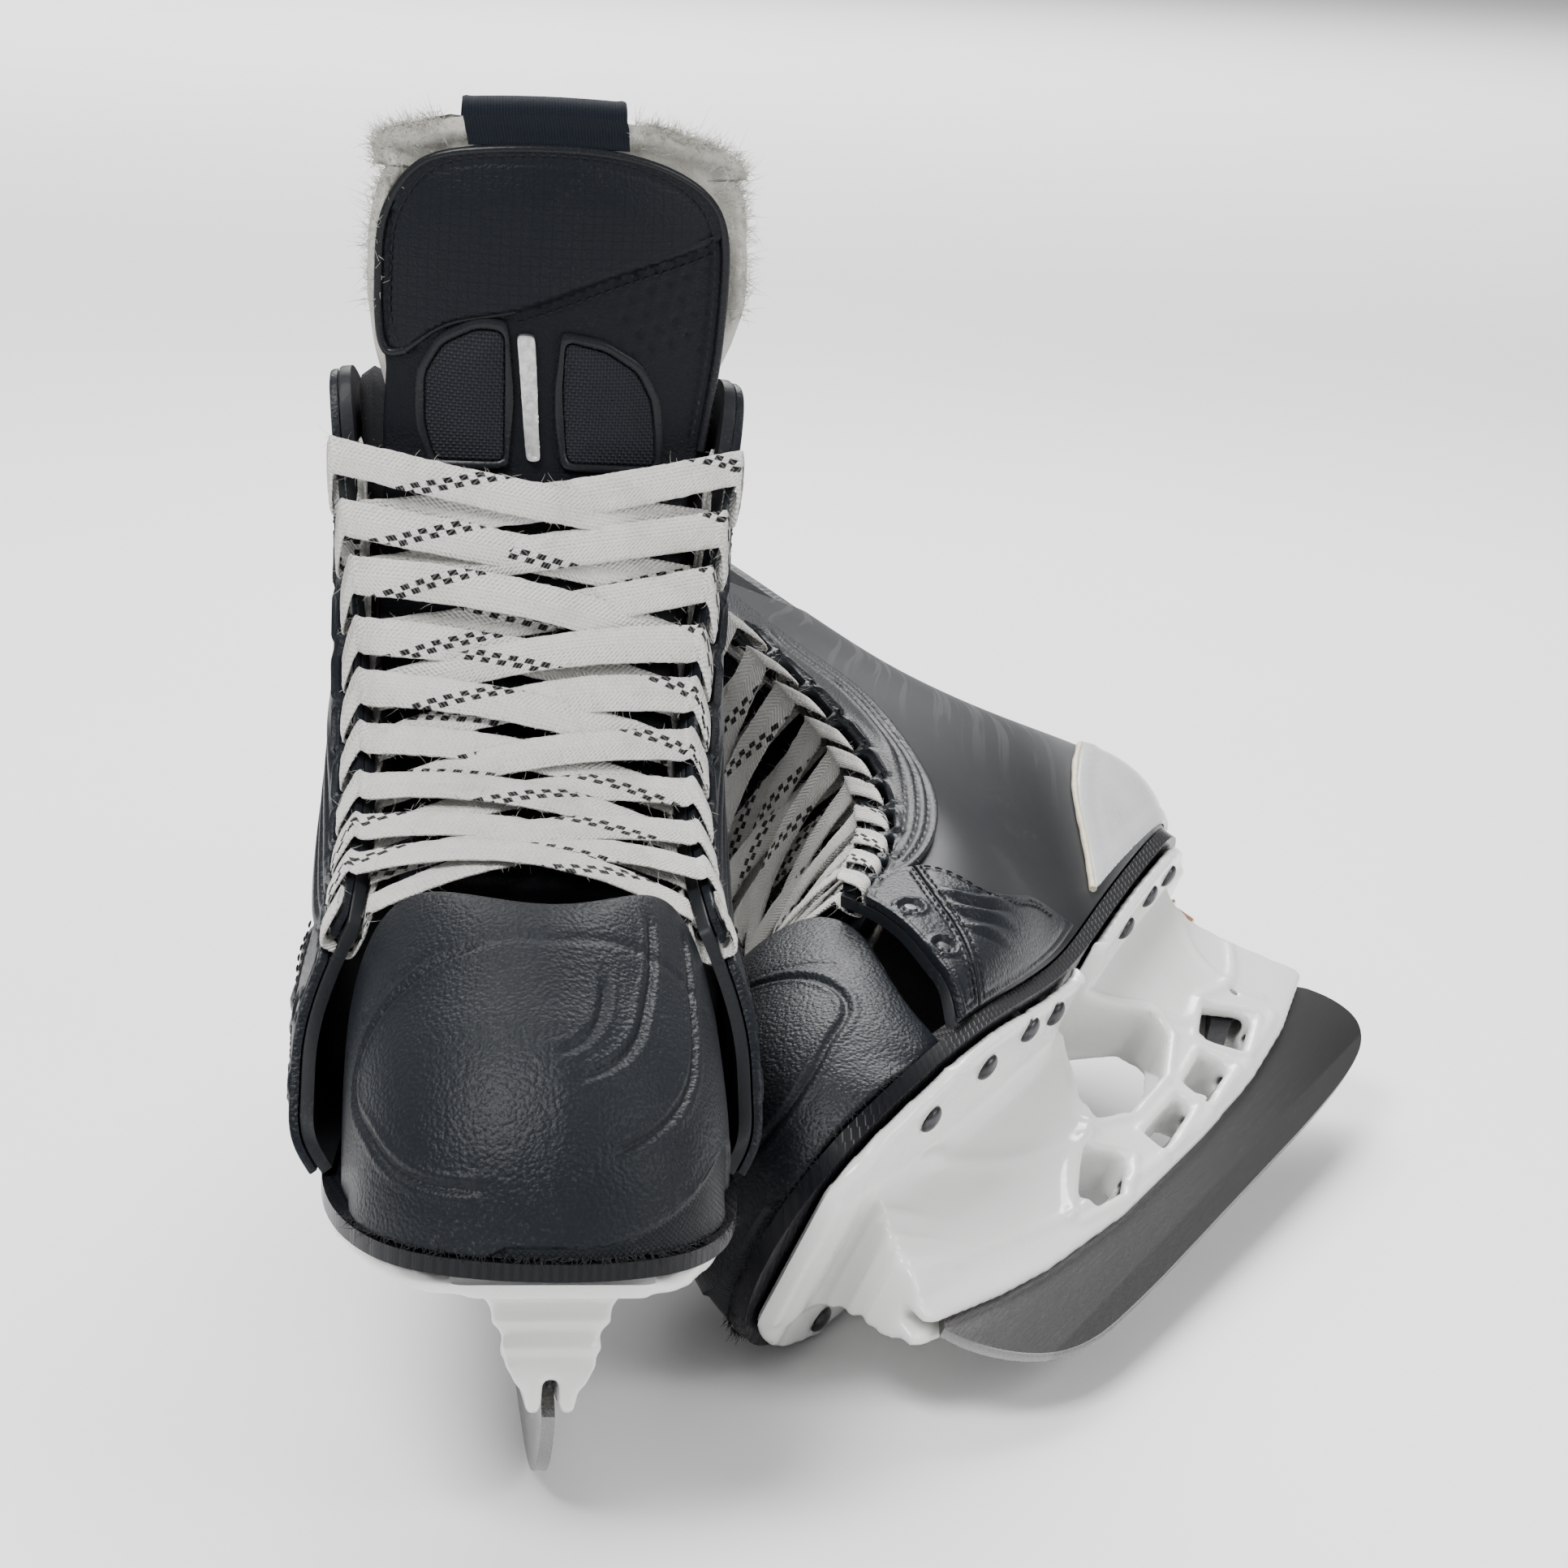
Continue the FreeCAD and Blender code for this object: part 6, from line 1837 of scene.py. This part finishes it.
def runner_shape():
    """Steel runner with eased corners and the hollow ground along its edge."""
    rocker = np.concatenate([smooth_line(RUNNER_EDGE[:7], 1.2), smooth_line(RUNNER_EDGE[7:], 1.2)])
    outline = np.concatenate([rocker, np.array(RUNNER_TOP, float)])
    outline = turned_loop(straight_line(np.vstack([outline, outline[:1]]), 1.6)[:-1], False)
    count = len(outline)
    rings = []
    for x, inset in ((-1.5, 0.32), (-1.5 + 0.04, 0.12), (-1.22, 0.0), (-0.7, 0.10), (0.0, 0.16), (0.7, 0.10),
                     (1.22, 0.0), (1.46, 0.12), (1.5, 0.32)):
        ring = inset_loop(outline, inset)
        rings.append(np.c_[np.full(count, x), ring])
    rings = np.array(rings)
    index = np.arange(rings.shape[0] * count).reshape(rings.shape[0], count)
    turned = np.roll(index, -1, 1)
    quads = np.stack([index[:-1], turned[:-1], turned[1:], index[1:]], -1).reshape(-1, 4)
    triangles = []
    caps = geometry.tessellate_polygon([[Vector((0, p[0], p[1])) for p in outline]])
    for face in caps:
        triangles.append([index[0][k] for k in face])
        triangles.append([index[-1][k] for k in face[::-1]])
    triangles = np.array(triangles)
    first = rings.reshape(-1, 3)[triangles[0]]
    if np.cross(first[1] - first[0], first[2] - first[0])[0] > 0:
        triangles = triangles[:, ::-1]
    ring_face = rings.reshape(-1, 3)[quads[count * 4]]
    facing = np.cross(ring_face[1] - ring_face[0], ring_face[2] - ring_face[0])
    edge_out = ring_face.mean(0) - np.array((0, 0, 20.0))
    if facing @ (edge_out * (0, 1, 1)) < 0:
        quads = quads[:, ::-1]
    return Shape().add(rings.reshape(-1, 3), quads, triangles)


RIVETS_FRONT = [(-108, 34, 31), (-80, 38.5, 33.5), (-52, 38.5, 33.5), (-26, 32.5, 30)]
RIVETS_REAR = [(62, 21, 21), (86, 22, 22), (110, 19.5, 19.5)]
UNDER_FLANGE = -0.4 - 4.0 - 0.8 - 4.6


def rivet_shape():
    """Blackened rivets: domed heads under the flange, shanks and flat clinched ends on the sole."""
    shape = Shape()
    for y, outer_x, inner_x in RIVETS_FRONT + RIVETS_REAR:
        level = float(sole_height([y])[0])
        for x in (-outer_x, inner_x):
            shape.join(lathe([(0.5, -1.5), (1.7, -1.35), (2.6, -1.0), (3.3, -0.5), (3.65, 0.1), (3.6, 0.5),
                              (2.0, 0.6), (2.0, 9.6), (3.2, 9.8), (3.3, 10.4), (2.9, 10.8), (0.4, 10.8)],
                             (x, y, level + UNDER_FLANGE), (0, 0, 1), (1, 0, 0), 28))
    return shape


def heel_rivet_shape():
    """Copper rivet at the heel with a hollow set end."""
    level = float(sole_height([131.0])[0]) + UNDER_FLANGE - 2.4
    return lathe([(0.3, -6.6), (1.1, -6.8), (1.4, -8.3), (1.9, -8.5), (2.3, -8.2), (2.4, -0.8), (3.7, -0.5),
                  (4.0, 0.0), (3.9, 0.5), (2.0, 0.6), (2.0, 12.0), (3.5, 12.1), (3.5, 12.8), (0.4, 12.9)],
                 (0, 131, level), (0, 0, 1), (1, 0, 0), 36)


# ---------------------------------------------------------------- build all pieces
shell = shell_shape()
make_pair("quarter_shell", shell, MAT["quarter"], "skate", ["quarter_shell"])
for word, sign in (("outer", -1), ("inner", 1)):
    make_pair(f"{word}_facing", facing_shape(sign), MAT["facing"], "skate", [f"{word}_facing"])
    make_pair(f"{word}_side_panel", side_panel_shape(sign), MAT["overlay"], "skate",
              [f"{word}_side_panel"])
    make_pair(f"{word}_vamp_strap", strap_shape(sign), MAT["overlay"], "skate", [f"{word}_vamp_strap"])
    make_pair(f"{word}_strap_screws", strap_screws(sign), MAT["rivet"], "skate")
    make_pair(f"{word}_boot_stitches", boot_stitches(sign), MAT["thread"], "skate")
counter, counter_line = counter_shape()
make_pair("heel_counter", counter, MAT["heel_counter"], "skate", ["heel_counter"])
both_lines = np.concatenate([(counter_line * (-1, 1))[::-1], counter_line[1:]])
bead, bead_normal = boot_surface(both_lines[:, 0], both_lines[:, 1] + 0.004)
bead_size = 0.95 + 0.2 * value_noise(bead, 0.5, 12)
make_pair("heel_glue_line", tube(bead + bead_normal * 0.9, bead_size, 10, bead_normal), MAT["glue"],
          "skate")
liner = make_pair("ankle_liner", liner_shape(), MAT["liner"], "skate", ["ankle_liner"])
make_pair("tendon_guard", guard_shape(), MAT["tendon_guard"], "tendon_guard", ["tendon_guard"])
cap = toe_cap_shape()
make_pair("toe_cap", cap, MAT["toe_cap"], "skate", ["toe_cap"])
hem, hem_normal = toe_surface(np.linspace(-1, 1, 900), np.full(900, 0.995))
hem_normal[:, 2] = -0.7
hem_pick = rng.choice(900, 420)
make_pair("toe_fray", fibres(hem[hem_pick] + (0, 0, 0.2), unit(hem_normal[hem_pick]), 2.2, 0.11, 5, 1.0),
          MAT["liner"], "skate")

cover, threads = cover_shape(), tongue_thread_shape()
felt, felt_face, felt_distance, felt_along = felt_shape()
pad_mesh, pad_frames = pad_shapes()
BENDING = (
    ("tongue_cover", cover, "tongue_cover", "tongue_cover", ("tongue_lower", "tongue_upper")),
    ("tongue_felt", felt, "felt", "felt", ("tongue_felt_lower", "tongue_felt_upper")),
    ("tongue_pads", pad_mesh, "mesh_pad", "mesh_pad", ("tongue_pads",)),
    ("tongue_pad_frames", pad_frames, "piping", "tongue_cover", ()),
    ("tongue_strip", strip_shape(), "strip", "strip", ("tongue_strip",)),
    ("tongue_piping", piping_shape(), "piping", "tongue_cover", ()),
    ("tongue_thread", threads, "thread", "tongue_cover", ()),
)
for side in SIDES:
    for label, shape, finish_name, slot, nodes in BENDING:
        piece = make_pair(label, shape, MAT[finish_name], "", nodes, sides=(side,))[side]
        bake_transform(piece)
        label in ("tongue_felt", "tongue_pads")
make_pair("tongue_label", label_shape(), MAT["label"], "tongue_top", ["tongue_label"])
make_pair("tongue_low_thread", low_thread_shape(), MAT["thread"], "skate")
make_pair("tongue_fluff", fluff_shape(felt_face, felt_distance, felt_along), MAT["felt"], "tongue_top")
lace = lace_shape()
make_pair("lace", lace, MAT["lace"], "skate", ["lace"], sharp=80)
braid, braid_lay = np.concatenate(lace.points), np.concatenate(lace.lay)
edges = np.flatnonzero(np.abs(braid_lay[:, 0]) > 3.6)
edges = edges[rng.choice(len(edges), 2400)]
hairs = unit(rng.normal(0, 1, (len(edges), 3)) + (0, -0.8, 0.4))
make_pair("lace_fuzz", fibres(braid[edges], hairs, 1.9, 0.06, 77, 1.2), MAT["felt"], "skate")

make_pair("blade_holder", holder_shape(), MAT["holder"], "skate", ["blade_holder"], sharp=60)
make_pair("runner", runner_shape(), MAT["runner"], "runner", ["runner"], sharp=30)
make_pair("rivets", rivet_shape(), MAT["rivet"], "skate", ["rivets"])
make_pair("heel_rivet", heel_rivet_shape(), MAT["copper"], "skate", ["heel_rivet"])

for side in SIDES:
    for node, finish_name in (("outsole", "outsole"), ("footbed", "footbed"), ("trigger", "trigger"),
                              ("trigger_pin", "pin"), ("trigger_spring", "pin")):
        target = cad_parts[f"{side}_{node}"]
        for place in target.material_slots:
            place.material = MAT[finish_name]

# ---------------------------------------------------------------- floor, light and camera
def studio_floor():
    """Wide pale floor with a faint unevenness."""
    mesh = bpy.data.meshes.new("floor")
    reach = 60.0
    mesh.from_pydata([(-reach, -reach, 0), (reach, -reach, 0), (reach, reach, 0), (-reach, reach, 0)], [],
                     [(0, 1, 2, 3)])
    floor = bpy.data.objects.new("studio_floor", mesh)
    bpy.context.scene.collection.objects.link(floor)
    finish = Finish("pale floor", Roughness=0.7, Specular_IOR_Level=0.2)
    cloud = noise(finish.tree, object_place(finish.tree), 0.004, 2.0)
    finish.feed("Base Color", mixed(finish.tree, cloud, (0.90, 0.90, 0.90), (0.86, 0.86, 0.86)))
    mesh.materials.append(finish.material)


def soft_light(name, spot, target, width, power):
    """Square soft box that shines from a spot at a target."""
    light = bpy.data.lights.new(name, "AREA")
    light.size = width
    light.energy = power
    lamp = bpy.data.objects.new(name, light)
    lamp.location = spot
    lamp.rotation_mode = "QUATERNION"
    lamp.rotation_quaternion = (Vector(target) - Vector(spot)).to_track_quat("-Z", "Y")
    bpy.context.scene.collection.objects.link(lamp)


FOCAL, SENSOR = 75.64, 36.0
SHIFT = (0.02405, -0.00149)
AIM, REACH = Vector((0.05314, 0.0, 0.13582)), 0.80796
AZIMUTH, ELEVATION, ROLL = -0.1424, 0.2689, 0.0584


def studio_camera():
    """Camera at the viewing angle of the reference, a little above the toes."""
    data = bpy.data.cameras.new("camera")
    data.lens, data.sensor_width = FOCAL, SENSOR
    data.shift_x, data.shift_y = SHIFT
    data.clip_start = 0.01
    back = Vector((math.sin(AZIMUTH) * math.cos(ELEVATION), -math.cos(AZIMUTH) * math.cos(ELEVATION),
                   math.sin(ELEVATION)))
    right = (-back).cross(Vector((0, 0, 1))).normalized()
    up = right.cross(-back)
    right, up = (right * math.cos(ROLL) + up * math.sin(ROLL), up * math.cos(ROLL) - right * math.sin(ROLL))
    camera = bpy.data.objects.new("camera", data)
    turn = Matrix((right, up, back)).transposed().to_4x4()
    camera.matrix_world = Matrix.Translation(AIM + back * REACH) @ turn
    bpy.context.scene.collection.objects.link(camera)
    bpy.context.scene.camera = camera


studio_floor()
soft_light("key", (-0.55, -0.55, 1.25), (0.05, 0, 0.12), 0.55, 25)
soft_light("fill", (1.0, -0.6, 0.8), (0.08, 0, 0.1), 0.6, 9)
soft_light("far", (0.0, 6.0, 5.0), (0.0, 5.5, 0.0), 6.0, 1000)
soft_light("back", (0.3, 1.0, 1.1), (0.05, 0.1, 0.1), 0.9, 15)
world = bpy.data.worlds.new("studio")
world.use_nodes = True
world.node_tree.nodes["Background"].inputs["Color"].default_value = (1, 1, 1, 1)
world.node_tree.nodes["Background"].inputs["Strength"].default_value = 0.4
bpy.context.scene.world = world
studio_camera()
